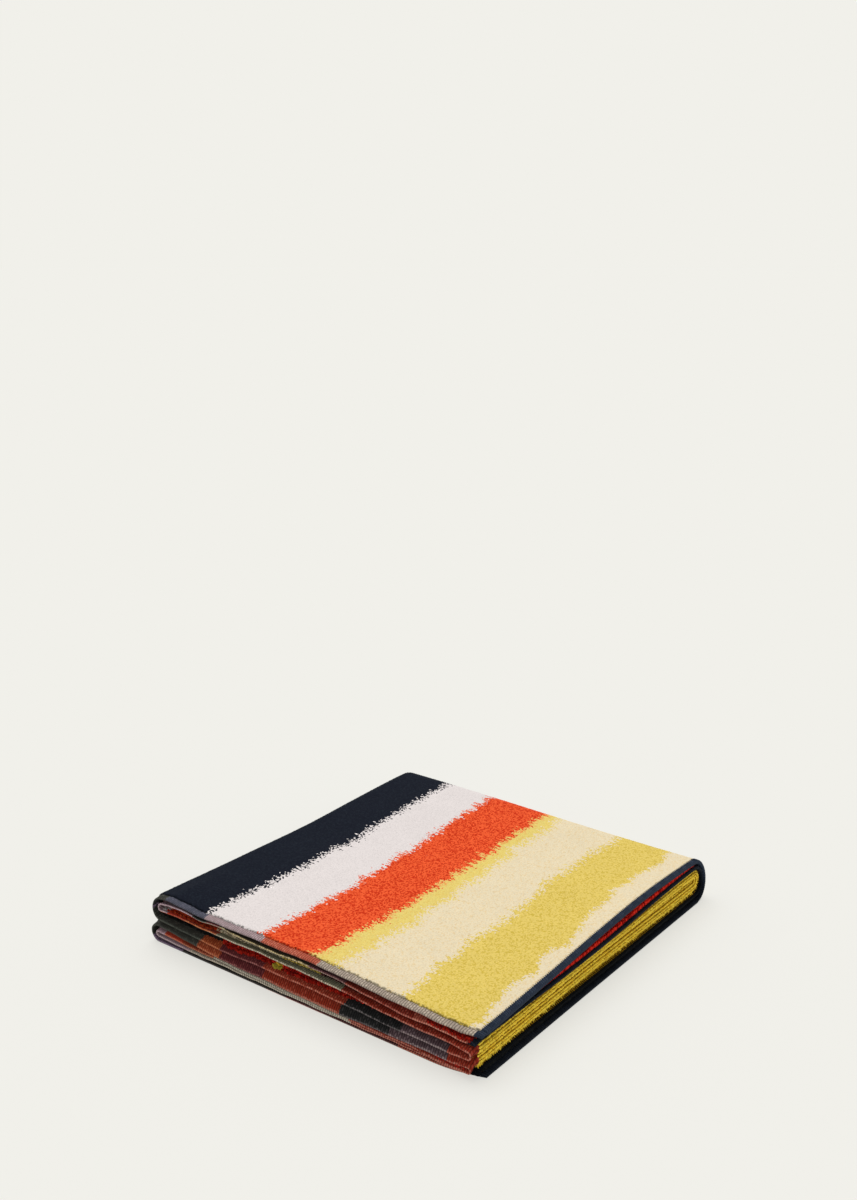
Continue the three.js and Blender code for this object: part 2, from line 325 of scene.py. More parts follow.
def cloth_place(span, place, v, turned, offset):
    """Lays points of the cloth in the stack. place is the share of the span from its start, or
    the distance from the hem's end, and offset is along the right side's direction from the
    middle of the cloth. Gives the points (mm), and s, t and the distance from the hem's end."""
    place, v, turned, offset = np.broadcast_arrays(
        *(np.asarray(x, float) for x in (place, v, turned, offset))
    )
    ends = span_ends(v, turned)
    to_wide = ends["top_hem"] - ends["wide"]
    past_wide = to_wide + math.pi * ends["wide_radius"]
    to_crease = past_wide + ends["crease"] - ends["wide"]
    past_crease = to_crease + math.pi * ends["crease_radius"]
    to_tight = past_crease + ends["crease"] - ends["tight"]
    past_tight = to_tight + math.pi * ends["tight_radius"]
    from_hem = np.full(place.shape, FAR)
    if span in RUNS:
        layer, face = RUNS[span]
        if span == "top hem":
            from_hem = place
            u = ends["top_hem"] - place
        elif span == "tucked hem":
            from_hem = place
            u = ends["tucked_hem"] - place
        elif span == "outer":
            u = mix(ends["top_hem"] - HEM_REACH, ends["wide"], place)
            from_hem = ends["top_hem"] - u
        elif span == "core":
            u = mix(ends["wide"], ends["crease"], place)
        elif span == "inner":
            u = mix(ends["crease"], ends["tight"], place)
        else:
            u = mix(ends["tight"], ends["tucked_hem"] - HEM_REACH, place)
            from_hem = ends["tucked_hem"] - u
        s = {
            "outer": ends["top_hem"] - u,
            "core": past_wide + u - ends["wide"],
            "inner": past_crease + ends["crease"] - u,
            "tucked": past_tight + u - ends["tight"],
        }[layer]
        middle_w = heights_at(u, v, turned)[layer]
        middle_u, read_u = u, u
        face_u, face_w = 0.0, face
        layers = (layer, layer)
        share = np.zeros(place.shape)
    else:
        start, stop, bulge, face = TURNS[span]
        read_u = ends[span]
        heights = heights_at(read_u, v, turned)
        angle = math.pi * place
        radius = np.abs(heights[start] - heights[stop]) / 2
        out_u = bulge * np.sin(angle)
        out_w = np.sign(heights[start] - heights[stop]) * np.cos(angle)
        middle_u = read_u + radius * out_u
        middle_w = (heights[start] + heights[stop]) / 2 + radius * out_w
        face_u, face_w = face * out_u, face * out_w
        before = {"wide": to_wide, "crease": to_crease, "tight": to_tight}[span]
        s = before + angle * ends[span + "_radius"]
        layers = (start, stop)
        share = (1 - np.cos(angle)) / 2

    fade = smooth(clamp01(1 - v / EDGE_FADE))
    setback = 0.0
    wave = 0.0
    base_share = 0.0
    droop = 0.0
    for layer, part in zip(layers, (1 - share, share)):
        upper = edge_of_layer("upper", layer, read_u)
        lower = edge_of_layer("lower", layer, read_u)
        setback = setback + part * fade * np.where(turned < 0.5, upper, lower)
        wave = wave + part * edge_wave(layer, read_u, v, turned)
        droop = droop + part * edge_droop(layer, read_u, v, turned)
        if layer == "outer":
            wave = wave + part * top_swell(read_u, v, turned)
            base_share = base_share + part * (turned == 1)
    wave = wave * (1 - base_share)
    half = half_thickness(v, turned, from_hem)
    sink = mix(droop, CLOTH / 2 - half, base_share)

    lean = math.pi * turned
    w = middle_w + wave + offset * face_w
    plane = heights_on_side("lower", read_u, v)["outer"] + CLOTH / 2
    y = v + setback + w * np.sin(lean)
    z = plane + w * np.cos(lean) - sink
    t = np.where(turned == 0, v, TURN_START + FOLD_ARC * turned)
    t = np.where(turned == 1, CLOTH_WIDTH - v, t)
    points = np.stack([middle_u + offset * face_u, y, z], axis=-1)
    return points, s, t, from_hem


def half_thickness(v, turned, from_hem):
    """Half of the cloth's thickness: bare at the selvages, thin at the hems, full in the pile."""
    bare = np.where(is_flat(turned), v, FAR)
    across = mix(SELVAGE / 2, CLOTH / 2, clamp01((bare - SELVAGE_WIDTH) / PILE_SLOPE))
    hem = mix(TOP_HEM / 2, HEM / 2, smooth(turned))
    along = mix(hem, CLOTH / 2, clamp01((from_hem - HEM_WIDTH) / PILE_SLOPE))
    return np.minimum(across, along)


def hem_share(span, from_hem):
    """The tucked hem's share of the top hem's thickness, and 1 everywhere else."""
    thinner = TUCKED_HEM_SHARE if span == "tucked hem" else 1.0
    return np.where(from_hem <= HEM_WIDTH, thinner, 1.0)


def rounding(distance, radius):
    """1 inside the cloth, and down to a rounded edge where the distance to it reaches 0."""
    near = clamp01(distance / radius)
    return np.sqrt(1 - (1 - near) ** 2) * 0.75 + 0.25


def back_of_stack():
    """The furthest place of the cloth along Y, round the lengthwise fold."""
    share = np.linspace(0, 1, 120)
    points, *_ = cloth_place("outer", share, TURN_START, 0.5, CLOTH / 2)
    return points[..., 1].max()


LOW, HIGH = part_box("bath_sheet")
ORIGIN = np.array([-LOW.x / MM, back_of_stack() - HIGH.y / MM, 0.0])


def to_frame(points):
    """Millimetres of the fold to metres of the shared frame."""
    return (points - ORIGIN) * MM


# Places of the rows beside a selvage and of the columns beside a hem's end, how far a hem goes on
# over the bare selvage, the width of the bare band in the crease, and the steps round the folds
EDGE_PLACES = [0, 0.3, 0.8, 1.7, 2.9, 4.1, 5.3, SELVAGE_WIDTH, 6.95, PILE_EDGE]
HEM_PLACES = [0, 0.35, 0.9, 1.9, 3.2, HEM_WIDTH, 5.25]
HEM_TAB = 6.6
CREASE_BAND = 10.6
WIDE_STEPS = 22
TIGHT_STEPS = 14

SPAN_ORDER = ["top hem", "outer", "wide", "core", "crease"]
SPAN_ORDER += ["inner", "tight", "tucked", "tucked hem"]
# Spans whose reverse shows on the upper open edge. On the lower one the others' does.
REVERSE_ON_UPPER_EDGE = ["core", "crease", "tight", "tucked", "tucked hem"]


def round_the_fold(flat, turns):
    """Places as (v, turned), from one open selvage round the lengthwise fold to the other."""
    v = np.concatenate([flat, np.full(len(turns), TURN_START), flat[::-1]])
    turned = np.concatenate([np.zeros(len(flat)), turns, np.ones(len(flat))])
    return v, turned


def station_rows(flat_steps, turn_steps):
    """Sections of the whole width as columns of v and of turned."""
    inner = np.linspace(CREASE_BAND, TURN_START, flat_steps + 1)
    flat = np.concatenate([EDGE_PLACES, [DROOP_REACH], inner])
    v, turned = round_the_fold(flat, np.linspace(0, 1, turn_steps + 1)[1:-1])
    return v[:, None], turned[:, None]


def section_columns(run_steps):
    """Spans of the whole length with the places of their columns."""
    even = np.linspace(0, 1, run_steps + 1)
    from_hem = np.concatenate([[0, 0.0035, 0.0074], even[1:]])
    wide = np.linspace(0, 1, WIDE_STEPS + 1)[1:-1]
    tight = np.linspace(0, 1, TIGHT_STEPS + 1)[1:-1]
    hem = np.array(HEM_PLACES)
    columns = (hem, from_hem, wide, even, tight, even, tight, 1 - from_hem[::-1], hem[::-1])
    return list(zip(SPAN_ORDER, columns))


def new_piece(name, verts, faces, uv, materials, face_materials=None):
    """A mesh piece in the shared frame that rides on the root body. uv is (s, t) in metres."""
    mesh = bpy.data.meshes.new(name)
    mesh.from_pydata(verts.reshape(-1, 3).tolist(), [], faces)
    cloth = mesh.uv_layers.new(name="Cloth")
    corners = np.empty(len(mesh.loops), np.int32)
    mesh.loops.foreach_get("vertex_index", corners)
    cloth.data.foreach_set("uv", uv.reshape(-1, 2)[corners].astype(np.float32).ravel())
    for material in materials:
        mesh.materials.append(material)
    if face_materials is not None:
        mesh.polygons.foreach_set("material_index", np.asarray(face_materials, np.int32))
    mesh.polygons.foreach_set("use_smooth", np.ones(len(mesh.polygons), bool))
    mesh.update()
    piece = bpy.data.objects.new(name, mesh)
    bpy.context.scene.collection.objects.link(piece)
    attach(piece, "root")
    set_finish(piece, "terry")
    return piece


def grid_faces(rows, columns, start=0):
    """Quads of a grid whose right side looks along the cloth's right side."""
    index = start + np.arange(rows * columns).reshape(rows, columns)
    quads = [index[:-1, :-1], index[1:, :-1], index[1:, 1:], index[:-1, 1:]]
    return np.stack(quads, axis=-1).reshape(-1, 4)


def build_cloth(settings, materials):
    """The whole sheet as one closed cloth: both sides, its selvages and its hems."""
    v, turned = station_rows(settings.flat_steps, settings.fold_steps)
    flat = is_flat(turned)
    sides = []
    for side in (1, -1):
        blocks = []
        for span, places in section_columns(settings.run_steps):
            columns = places[None, :]
            *_, from_hem = cloth_place(span, columns, v, turned, 0)
            half = half_thickness(v, turned, from_hem)
            half = half * np.where(flat, rounding(v, 0.9), 1) * rounding(from_hem, 1.1)
            half = half * hem_share(span, from_hem)
            if side == 1 and span in ("outer", "wide"):
                pile = clamp01((v - SELVAGE_WIDTH) / 1.5) * clamp01((from_hem - HEM_WIDTH) / 1.5)
                half = half - settings.pile_depth / MM * np.where(flat, pile, 1.0)
            points, s, t, from_hem = cloth_place(span, columns, v, turned, side * half)
            blocks.append((points, s, t, from_hem, np.full(s.shape, SPAN_ORDER.index(span))))
        sides.append([np.concatenate(parts, axis=1) for parts in zip(*blocks)])
    rows, count = sides[0][1].shape
    verts = np.concatenate([side[0].reshape(-1, 3) for side in sides])
    uv = np.concatenate([np.stack(side[1:3], -1).reshape(-1, 2) for side in sides]) * MM
    top = grid_faces(rows, count)
    under = grid_faces(rows, count, rows * count)[:, ::-1]
    index = np.arange(2 * rows * count).reshape(2, rows, count)
    walls = []
    for column, flip in ((0, 1), (count - 1, -1)):
        a, b = index[0, :, column], index[1, :, column]
        walls.append(np.stack([a[:-1], b[:-1], b[1:], a[1:]], -1)[:, ::flip])
    for row, flip in ((0, 1), (rows - 1, -1)):
        a, b = index[0, row], index[1, row]
        walls.append(np.stack([a[:-1], a[1:], b[1:], b[:-1]], -1)[:, ::flip])
    faces = np.concatenate([top, under, *walls])

    # Materials: 0 pile of the right side, 1 pile of the reverse, 2 and 3 the selvages' two sides,
    # 4 the hems
    edge = np.broadcast_to(np.where(flat, v, FAR), (rows, count)).reshape(-1)
    hem = np.minimum(sides[0][3].reshape(-1), FAR)
    corner = faces % (rows * count)
    span_of = sides[0][4].reshape(-1)[corner[:, 0]]
    bare = np.where(span_of == SPAN_ORDER.index("crease"), CREASE_BAND, SELVAGE_WIDTH)
    in_edge = edge[corner].mean(axis=1) < bare
    tucked = span_of == SPAN_ORDER.index("tucked hem")
    hem_reach = np.where(tucked, TUCKED_HEM_WIDTH, HEM_WIDTH)
    in_hem = hem[corner].mean(axis=1) < np.where(in_edge, HEM_TAB, hem_reach)
    reverse = np.zeros(len(faces), int)
    reverse[len(top) : len(top) + len(under)] = 1
    lower_wall = len(faces) - (count - 1)
    upper_wall = lower_wall - (count - 1)
    shows = np.isin(span_of, [SPAN_ORDER.index(span) for span in REVERSE_ON_UPPER_EDGE])
    reverse[upper_wall:lower_wall] = shows[upper_wall:lower_wall]
    reverse[lower_wall:] = ~shows[lower_wall:]
    kind = np.where(in_hem, 4, np.where(in_edge, 2 + reverse, reverse))
    piece = new_piece("bath_sheet_cloth", to_frame(verts), faces.tolist(), uv, materials, kind)
    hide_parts("bath_sheet")
    return piece


def pile_patch(name, span, places, v, turned, relief, seed, materials):
    """A fine sheet of pile on the right side, with a small crown for each tuft. places runs
    along the columns, v and turned along the rows."""
    rng = np.random.default_rng(seed)
    shape = (len(v), len(places))
    row, column = np.indices(shape)
    crown = (row % 2 == 1) & ((column + row // 2) % 2 == 1)
    height = np.where(crown, 0.55, -0.45) + rng.uniform(-0.5, 0.5, shape)
    inside = np.ones(shape)
    inside[0], inside[-1], inside[:, 0], inside[:, -1] = 0, 0, 0, 0
    step = places[1] - places[0]
    place = places[None, :] + rng.uniform(-0.28, 0.28, shape) * step * inside
    v, turned = v[:, None], turned[:, None]
    if np.ptp(v) > 0:
        middle = shape[0] // 2
        step = abs(float(v[middle, 0] - v[middle - 1, 0]))
        v = v + rng.uniform(-0.28, 0.28, shape) * step * inside
    *_, from_hem = cloth_place(span, place, v, turned, 0)
    half = half_thickness(v, turned, from_hem)
    rise = np.where(is_flat(turned), clamp01((v - SELVAGE_WIDTH) / 1.6), 1.0)
    rise = rise * clamp01((from_hem - HEM_WIDTH) / 1.6)
    offset = half + relief * height * inside * rise - 0.35 * (1 - rise)
    points, s, t, _ = cloth_place(span, place, v, turned, offset)
    points[..., 2] = np.maximum(points[..., 2], PILE_LOW)
    uv = np.stack([s, t], axis=-1) * MM
    return new_piece(name, to_frame(points), grid_faces(*shape).tolist(), uv, materials)


def even_rows(step):
    """Places from just inside the selvage to the lengthwise fold, about a step apart."""
    start = SELVAGE_WIDTH - 0.1
    return np.linspace(start, TURN_START, max(2, round((TURN_START - start) / step)) + 1)


def build_pile(settings, materials):
    """Sheets of pile on the sides that show: the top, the two folds and the underside."""
    step = settings.pile_step / MM
    relief = settings.pile_relief / MM
    run = np.linspace(0, 1, round(PILE_RUN / step) + 1)
    coarse_run = np.linspace(0, 1, round(PILE_RUN / (2 * step)) + 1)
    flat = even_rows(step)
    coarse = even_rows(step * 2)[::-1]
    turn = np.linspace(0, 1, round(FOLD_GIRTH / (step * 1.25)) + 1)
    at_fold = np.full(len(turn), TURN_START)
    left = round_the_fold(even_rows(step * 1.15), turn[1:-1])
    patches = [
        ("top_pile", "outer", run, flat, np.zeros(len(flat)), relief, 11),
        ("back_fold_pile", "outer", run, at_fold, turn, relief, 12),
        ("underside_pile", "outer", coarse_run, coarse, np.ones(len(coarse)), 0.0, 13),
        ("left_fold_pile", "wide", np.linspace(0, 1, 27), *left, relief, 14),
    ]
    return [pile_patch(*patch, materials) for patch in patches]


def tuft_frames(span, place, v, turned, offset):
    """Roots of tufts on the cloth, with their outward, lengthwise and crosswise directions."""
    root, s, t, _ = cloth_place(span, place, v, turned, offset)
    out, *_ = cloth_place(span, place, v, turned, offset + np.sign(offset) * 0.5)
    out = (out - root) / np.linalg.norm(out - root, axis=-1, keepdims=True)
    # A hem's places are in millimetres, and the other spans' are shares
    step = 0.2 if "hem" in span else 0.002
    ahead, *_ = cloth_place(span, place + step, v, turned, offset)
    along = (ahead - root) / np.linalg.norm(ahead - root, axis=-1, keepdims=True)
    across = np.cross(out, along)
    return root, out, along, across, s, t


TUFT_SIDES = 6
TUFT_TILT = 0.16


def tuft_shapes(root, out, along, across, length, width, height, lean, rng):
    """Small rounded loops: a ring in the cloth, two rings above it and a crown."""
    number = len(root)
    size = rng.uniform(0.82, 1.18, (number, 1, 1))
    angle = np.arange(TUFT_SIDES) * 2 * math.pi / TUFT_SIDES
    angle = angle[None, :, None] + rng.uniform(0, 1, (number, 1, 1))
    root, out, along, across = (x[:, None, :] for x in (root, out, along, across))
    ring = along * np.cos(angle) * length / 2 + across * np.sin(angle) * width / 2
    tilt = rng.normal(0, TUFT_TILT, (number, 1, 1)) * along
    tilt = tilt + rng.normal(0, TUFT_TILT, (number, 1, 1)) * across
    tilt = (tilt + np.asarray(lean)[:, None, :]) * height
    low = root - out * 0.35 + ring * size * 0.9
    middle = root + out * height * 0.55 * size + ring * size + tilt * 0.5
    high = root + out * height * 0.9 * size + ring * size * 0.6 + tilt * 0.85
    crown = root + out * height * size + tilt
    return np.concatenate([low, middle, high, crown], axis=1)


def tuft_faces(number):
    per = 3 * TUFT_SIDES + 1
    index = np.arange(TUFT_SIDES)
    after = (index + 1) % TUFT_SIDES
    quads = []
    for ring in (0, 1):
        low, high = ring * TUFT_SIDES, (ring + 1) * TUFT_SIDES
        quads.append(np.stack([low + index, low + after, high + after, high + index], -1))
    crown = np.full(TUFT_SIDES, 3 * TUFT_SIDES)
    tops = np.stack([2 * TUFT_SIDES + index, 2 * TUFT_SIDES + after, crown], -1)
    start = (np.arange(number) * per)[:, None, None]
    quads = (np.concatenate(quads)[None] + start).reshape(-1, 4).tolist()
    tops = (tops[None] + start).reshape(-1, 3).tolist()
    return quads + tops


class TuftRows:
    """Collects rows of tufts and makes one piece of them."""

    def __init__(self, seed):
        self.rng = np.random.default_rng(seed)
        self.verts = []
        self.uv = []

    def add(self, span, place, v, turned, side, size, sink=0.0, lean=(0, 0, 0)):
        """size is (lengthwise, crosswise, height); side is 1 on the right side, -1 behind."""
        place, v, turned = np.broadcast_arrays(
            *(np.asarray(x, float) for x in (place, v, turned))
        )
        *_, from_hem = cloth_place(span, place, v, turned, 0)
        offset = side * (half_thickness(v, turned, from_hem) - sink)
        root, out, along, across, s, t = tuft_frames(span, place, v, turned, offset)
        lean = np.broadcast_to(np.asarray(lean, float), root.shape)
        verts = tuft_shapes(root, out, along, across, *size, lean, self.rng)
        verts[..., 2] = np.maximum(verts[..., 2], TUFT_LOW)
        self.verts.append(verts)
        uv = np.stack([s, t], axis=-1)[:, None, :] + np.zeros(verts.shape[:2] + (1,))
        self.uv.append(uv)

    def piece(self, name, material):
        verts = np.concatenate(self.verts)
        uv = np.concatenate(self.uv) * MM
        return new_piece(name, to_frame(verts), tuft_faces(len(verts)), uv, [material])


def width_places(step, rng, fold_steps, start=PILE_EDGE):
    """Places all along the width, from one pile edge to the other, as (v, turned)."""
    turns = np.linspace(0, 1, fold_steps + 1)[1:-1]
    v, turned = round_the_fold(np.arange(start + 0.4, TURN_START, step), turns)
    move = rng.uniform(-0.25, 0.25, len(v)) * step * is_flat(turned)
    return v + move, turned


def build_crease_loops(material):
    """Rows of loops that stand open round the crease, parallel to it."""
    rows = TuftRows(21)
    size = (1.75, 2.5, 1.7)
    pitch, row_gap, start = 1.9, 2.7, CREASE_BAND - 0.6
    for share in (0.06, 0.24, 0.42, 0.6, 0.78, 0.96):
        v, turned = width_places(pitch, rows.rng, 9, start)
        rows.add("crease", share, v, turned, 1, size, sink=0.6)
    for index in range(1, 5):
        v, turned = width_places(pitch, rows.rng, 9)
        rows.add("inner", index * row_gap / LOOP_RUN, v, turned, 1, size, sink=0.75)
        if index < 3:
            rows.add("core", 1 - index * row_gap / LOOP_RUN, v, turned, 1, size, sink=0.75)
    # Two longer rows hang from the lower half's crease, along its flat part only
    for share, height in ((0.9, 2.8), (1.0, 3.6)):
        v, _ = width_places(1.7, rows.rng, 9, start)
        v = v[: len(v) // 2 - 4]
        move = rows.rng.uniform(-0.05, 0.05, len(v))
        rows.add("crease", share + move, v, 1.0, 1, (1.75, 2.2, height), 0.6, (0.35, 0, -0.85))
    for index in range(3):
        v, turned = width_places(pitch, rows.rng, 9)
        place = 1 - (0.8 + index * 2.6) / LOOP_RUN
        rows.add("tucked", place, v, turned, 1, size, sink=0.75)
    return rows.piece("crease_loops", material)


# Loops that show in the gaps of the front: span, side, half, from and to along u, rows along v,
# height
GAP_LOOPS = [
    ("core", -1, 0.0, 94, 242, (5.4, 6.6), 2.0),
    ("core", -1, 0.0, 100, 128, (4.2,), 2.4),
    ("core", -1, 0.0, 156, 167, (4.2, 5.2), 1.8),
    ("core", -1, 0.0, 172, 206, (4.2,), 2.4),
    ("tucked", -1, 0.0, 324, 366, (1.4, 3.0, 4.6), 2.2),
    ("inner", 1, 0.0, 16, 80, (3.6, 5.0), 2.0),
    ("core", -1, 1.0, 336, 362, (1.6, 3.2, 4.8), 2.0),
    ("inner", -1, 1.0, 336, 362, (1.6, 3.2, 4.8), 1.6),
]


def build_gap_loops(face, reverse):
    """Loops of the pile that the open layers let through at the front."""
    made = []
    for side, material, name in ((1, face, "face_gap_loops"), (-1, reverse, "reverse_gap_loops")):
        rows = TuftRows(51 + side)
        for span, on, turned, start, stop, places, height in GAP_LOOPS:
            if on != side:
                continue
            ends = span_ends(np.float64(0.0), np.float64(turned))
            left, right = {
                "core": (ends["wide"], ends["crease"]),
                "inner": (ends["crease"], ends["tight"]),
                "tucked": (ends["tight"], ends["tucked_hem"] - HEM_REACH),
            }[span]
            for v in places:
                u = np.arange(start, stop, 1.7)
                u = u + rows.rng.uniform(-0.5, 0.5, len(u))
                deep = v + rows.rng.uniform(-0.7, 0.7, len(u))
                size = (2.1, 2.0, height)
                rows.add(span, (u - left) / (right - left), deep, turned, side, size, sink=0.2)
        made.append(rows.piece(name, material))
    return made


def build_edge_loops(face, reverse):
    """Short ragged loops along the pile's edges, beside the bare selvages and the hems."""
    made = []
    for side, material, name, seed in (
        (1, face, "face_edge_loops", 31),
        (-1, reverse, "reverse_edge_loops", 32),
    ):
        rows = TuftRows(seed)
        for span in ("outer", "core", "inner", "tucked"):
            for turned in (0.0, 1.0):
                if side == 1 and span == "outer" and turned == 1.0:
                    continue
                place = np.arange(0.002, 0.998, 1.75 / LOOP_RUN)
                place = place + rows.rng.uniform(-0.001, 0.001, len(place))
                v = PILE_EDGE - 0.45 + rows.rng.uniform(-0.5, 0.5, len(place))
                small = (1.9, 1.7, 0.75) if span == "outer" and side == 1 else (2.0, 1.8, 1.0)
                rows.add(span, place, v, turned, side, small, sink=0.5, lean=(0, -0.35, 0))
        for span, start in (("outer", 0.0), ("tucked", 1.0)):
            for row in range(1 if side == 1 else 3):
                v, turned = width_places(2.0, rows.rng, 30 if span == "outer" else 18)
                if side == 1 and span == "outer":
                    keep = turned < 1
                    v, turned = v[keep], turned[keep]
                inward = (0.5 + 2.3 * row) / LOOP_RUN
                place = abs(start - inward) + rows.rng.uniform(-0.0012, 0.0012, len(v))
                small = (1.8, 1.9, 0.7) if side == 1 else (2.2, 2.0, 1.0)
                rows.add(span, place, v, turned, side, small, sink=0.45)
        if side == -1:
            for span, place in (("tucked hem", 4.0), ("tucked", 1.0), ("tucked", 0.993)):
                v = np.arange(118, TURN_START, 1.8)
                v = v + rows.rng.uniform(-0.4, 0.4, len(v))
                rows.add(span, place, v, 0.0, side, (2.2, 2.0, 2.8), sink=0.3)
        made.append(rows.piece(name, material))
    return made


# One stitch over a hem: places from the hem's end, rise over the cloth, move along the hem
STITCH_PATH = [
    (5.8, -0.6, 0.9),
    (5.1, 0.25, 0.7),
    (2.8, 0.15, 0.1),
    (1.0, 0.08, -0.5),
    (0.15, -0.15, -0.7),
]
STITCH_RADIUS = 0.34
STITCH_SIDES = 5


def build_hem_stitches(settings, material):
    """Short slanting stitches over each hem, as thin threads."""
    verts, uv = [], []
    rng = np.random.default_rng(41)
    ring = np.arange(STITCH_SIDES) * 2 * math.pi / STITCH_SIDES
    cos, sin = np.cos(ring)[:, None], np.sin(ring)[:, None]
    for span, fold_steps in (("top hem", 34), ("tucked hem", 22)):
        flat = np.arange(1.2, TURN_START, settings.stitch_pitch / MM)
        v, turned = round_the_fold(flat, np.linspace(0, 1, fold_steps)[1:-1])
        v = v + rng.uniform(-0.2, 0.2, len(v)) * is_flat(turned)
        for side in (1, -1):
            path = []
            for place, rise, slant in STITCH_PATH:
                half = half_thickness(v, turned, np.full(len(v), min(place, HEM_WIDTH)))
                half = half * hem_share(span, place)
                offset = side * (half * rounding(np.float64(place), 1.1) + rise)
                across = np.maximum(v + slant * is_flat(turned), 0.2)
                points, s, t, _ = cloth_place(span, place, across, turned, offset)
                path.append(points)
            path = np.stack(path, axis=1)
            path[..., 2] = np.maximum(path[..., 2], STITCH_LOW)
            direction = np.gradient(path, axis=1)
            direction /= np.linalg.norm(direction, axis=-1, keepdims=True) + 1e-9
            helper = np.cross(direction, np.array([0.0, 1.0, 0.0]) + 0 * direction)
            helper /= np.linalg.norm(helper, axis=-1, keepdims=True) + 1e-9
            other = np.cross(direction, helper)
            round_path = helper[:, :, None, :] * cos + other[:, :, None, :] * sin
            tube = path[:, :, None, :] + STITCH_RADIUS * round_path
            verts.append(tube)
            uv.append(np.stack([s, t], -1)[:, None, None, :] + np.zeros(tube.shape[:3] + (1,)))
    verts = np.concatenate(verts)
    uv = np.concatenate(uv) * MM
    index = np.arange(math.prod(verts.shape[:3])).reshape(verts.shape[:3])
    after = np.roll(index, -1, axis=2)
    quads = np.stack([index[:, :-1], after[:, :-1], after[:, 1:], index[:, 1:]], -1)
    caps = index[:, -1].tolist() + index[:, 0, ::-1].tolist()
    faces = quads.reshape(-1, 4).tolist() + caps
    return new_piece("hem_stitches", to_frame(verts), faces, uv, [material])


# Helpers for nodes

def put(tree, socket, value):
    """Links a socket, or sets it where the value is plain."""
    if isinstance(value, bpy.types.NodeSocket):
        tree.links.new(value, socket)
    elif value is not None:
        socket.default_value = value


def add_node(tree, kind, inputs=None, **settings):
    node = tree.nodes.new(kind)
    for name, value in settings.items():
        setattr(node, name, value)
    for name, value in (inputs or {}).items():
        put(tree, node.inputs[name], value)
    node.location = (180 * (len(tree.nodes) % 12), -220 * (len(tree.nodes) // 12))
    return node


def calc(tree, operation, a, b=0.0, c=0.0, clamp=False):
    node = add_node(tree, "ShaderNodeMath", operation=operation, use_clamp=clamp)
    for socket, value in zip(node.inputs, (a, b, c)):
        put(tree, socket, value)
    return node.outputs[0]
def times(tree, first, *others):
    for other in others:
        first = calc(tree, "MULTIPLY", first, other)
    return first


def swing(tree, share, size):
    """A number between 0 and 1 as a swing round 0."""
    return calc(tree, "MULTIPLY", calc(tree, "SUBTRACT", share, 0.5), size)


def scaled(tree, vector, scale):
    node = add_node(tree, "ShaderNodeVectorMath", {0: vector, "Scale": scale}, operation="SCALE")
    return node.outputs[0]


def noise(tree, vector, scale, detail=2.0, dimensions="2D"):
    inputs = {"Vector": vector, "Scale": scale, "Detail": detail}
    node = add_node(tree, "ShaderNodeTexNoise", inputs, noise_dimensions=dimensions)
    return node.outputs[0]


def split(tree, vector):
    """The cloth's s and t, as sockets."""
    return add_node(tree, "ShaderNodeSeparateXYZ", {"Vector": vector}).outputs[:2]

def blend_colour(tree, share, a, b, way="MIX"):
    node = add_node(tree, "ShaderNodeMix", data_type="RGBA", blend_type=way)
    put(tree, node.inputs[0], share)
    put(tree, node.inputs[6], a)
    put(tree, node.inputs[7], b)
    return node.outputs[2]


def blend_value(tree, share, a, b):
    node = add_node(tree, "ShaderNodeMix", data_type="FLOAT")
    put(tree, node.inputs[0], share)
    put(tree, node.inputs[2], a)
    put(tree, node.inputs[3], b)
    return node.outputs[0]


def ramp_value(tree, value, low, high, to_low=0.0, to_high=1.0):
    node = add_node(tree, "ShaderNodeMapRange", interpolation_type="SMOOTHSTEP")
    for socket, number in zip(node.inputs, (value, low, high, to_low, to_high)):
        put(tree, socket, number)
    return node.outputs[0]


def new_group(name, inputs, outputs):
    """An empty node group with its sockets. Each socket is (name, kind, default)."""
    tree = bpy.data.node_groups.new(name, "ShaderNodeTree")
    for label, kind, default in inputs:
        socket = tree.interface.new_socket(label, in_out="INPUT", socket_type=kind)
        if default is not None:
            socket.default_value = default
    for label, kind in outputs:
        tree.interface.new_socket(label, in_out="OUTPUT", socket_type=kind)
    start = add_node(tree, "NodeGroupInput")
    end = add_node(tree, "NodeGroupOutput")
    return tree, start.outputs, end.inputs


def use_group(tree, group, inputs):
    node = add_node(tree, "ShaderNodeGroup")
    node.node_tree = group
    node.label = group.name
    for name, value in inputs.items():
        put(tree, node.inputs[name], value)
    return node.outputs


FLOAT, COLOUR, VECTOR = "NodeSocketFloat", "NodeSocketColor", "NodeSocketVector"


def linear(red, green, blue):
    """A picture's colour numbers (0 to 255) as Blender's linear colour."""
    values = []
    for number in (red, green, blue):
        share = number / 255
        values.append(share / 12.92 if share <= 0.04045 else ((share + 0.055) / 1.055) ** 2.4)
    return (*values, 1.0)


# Effects that the materials share


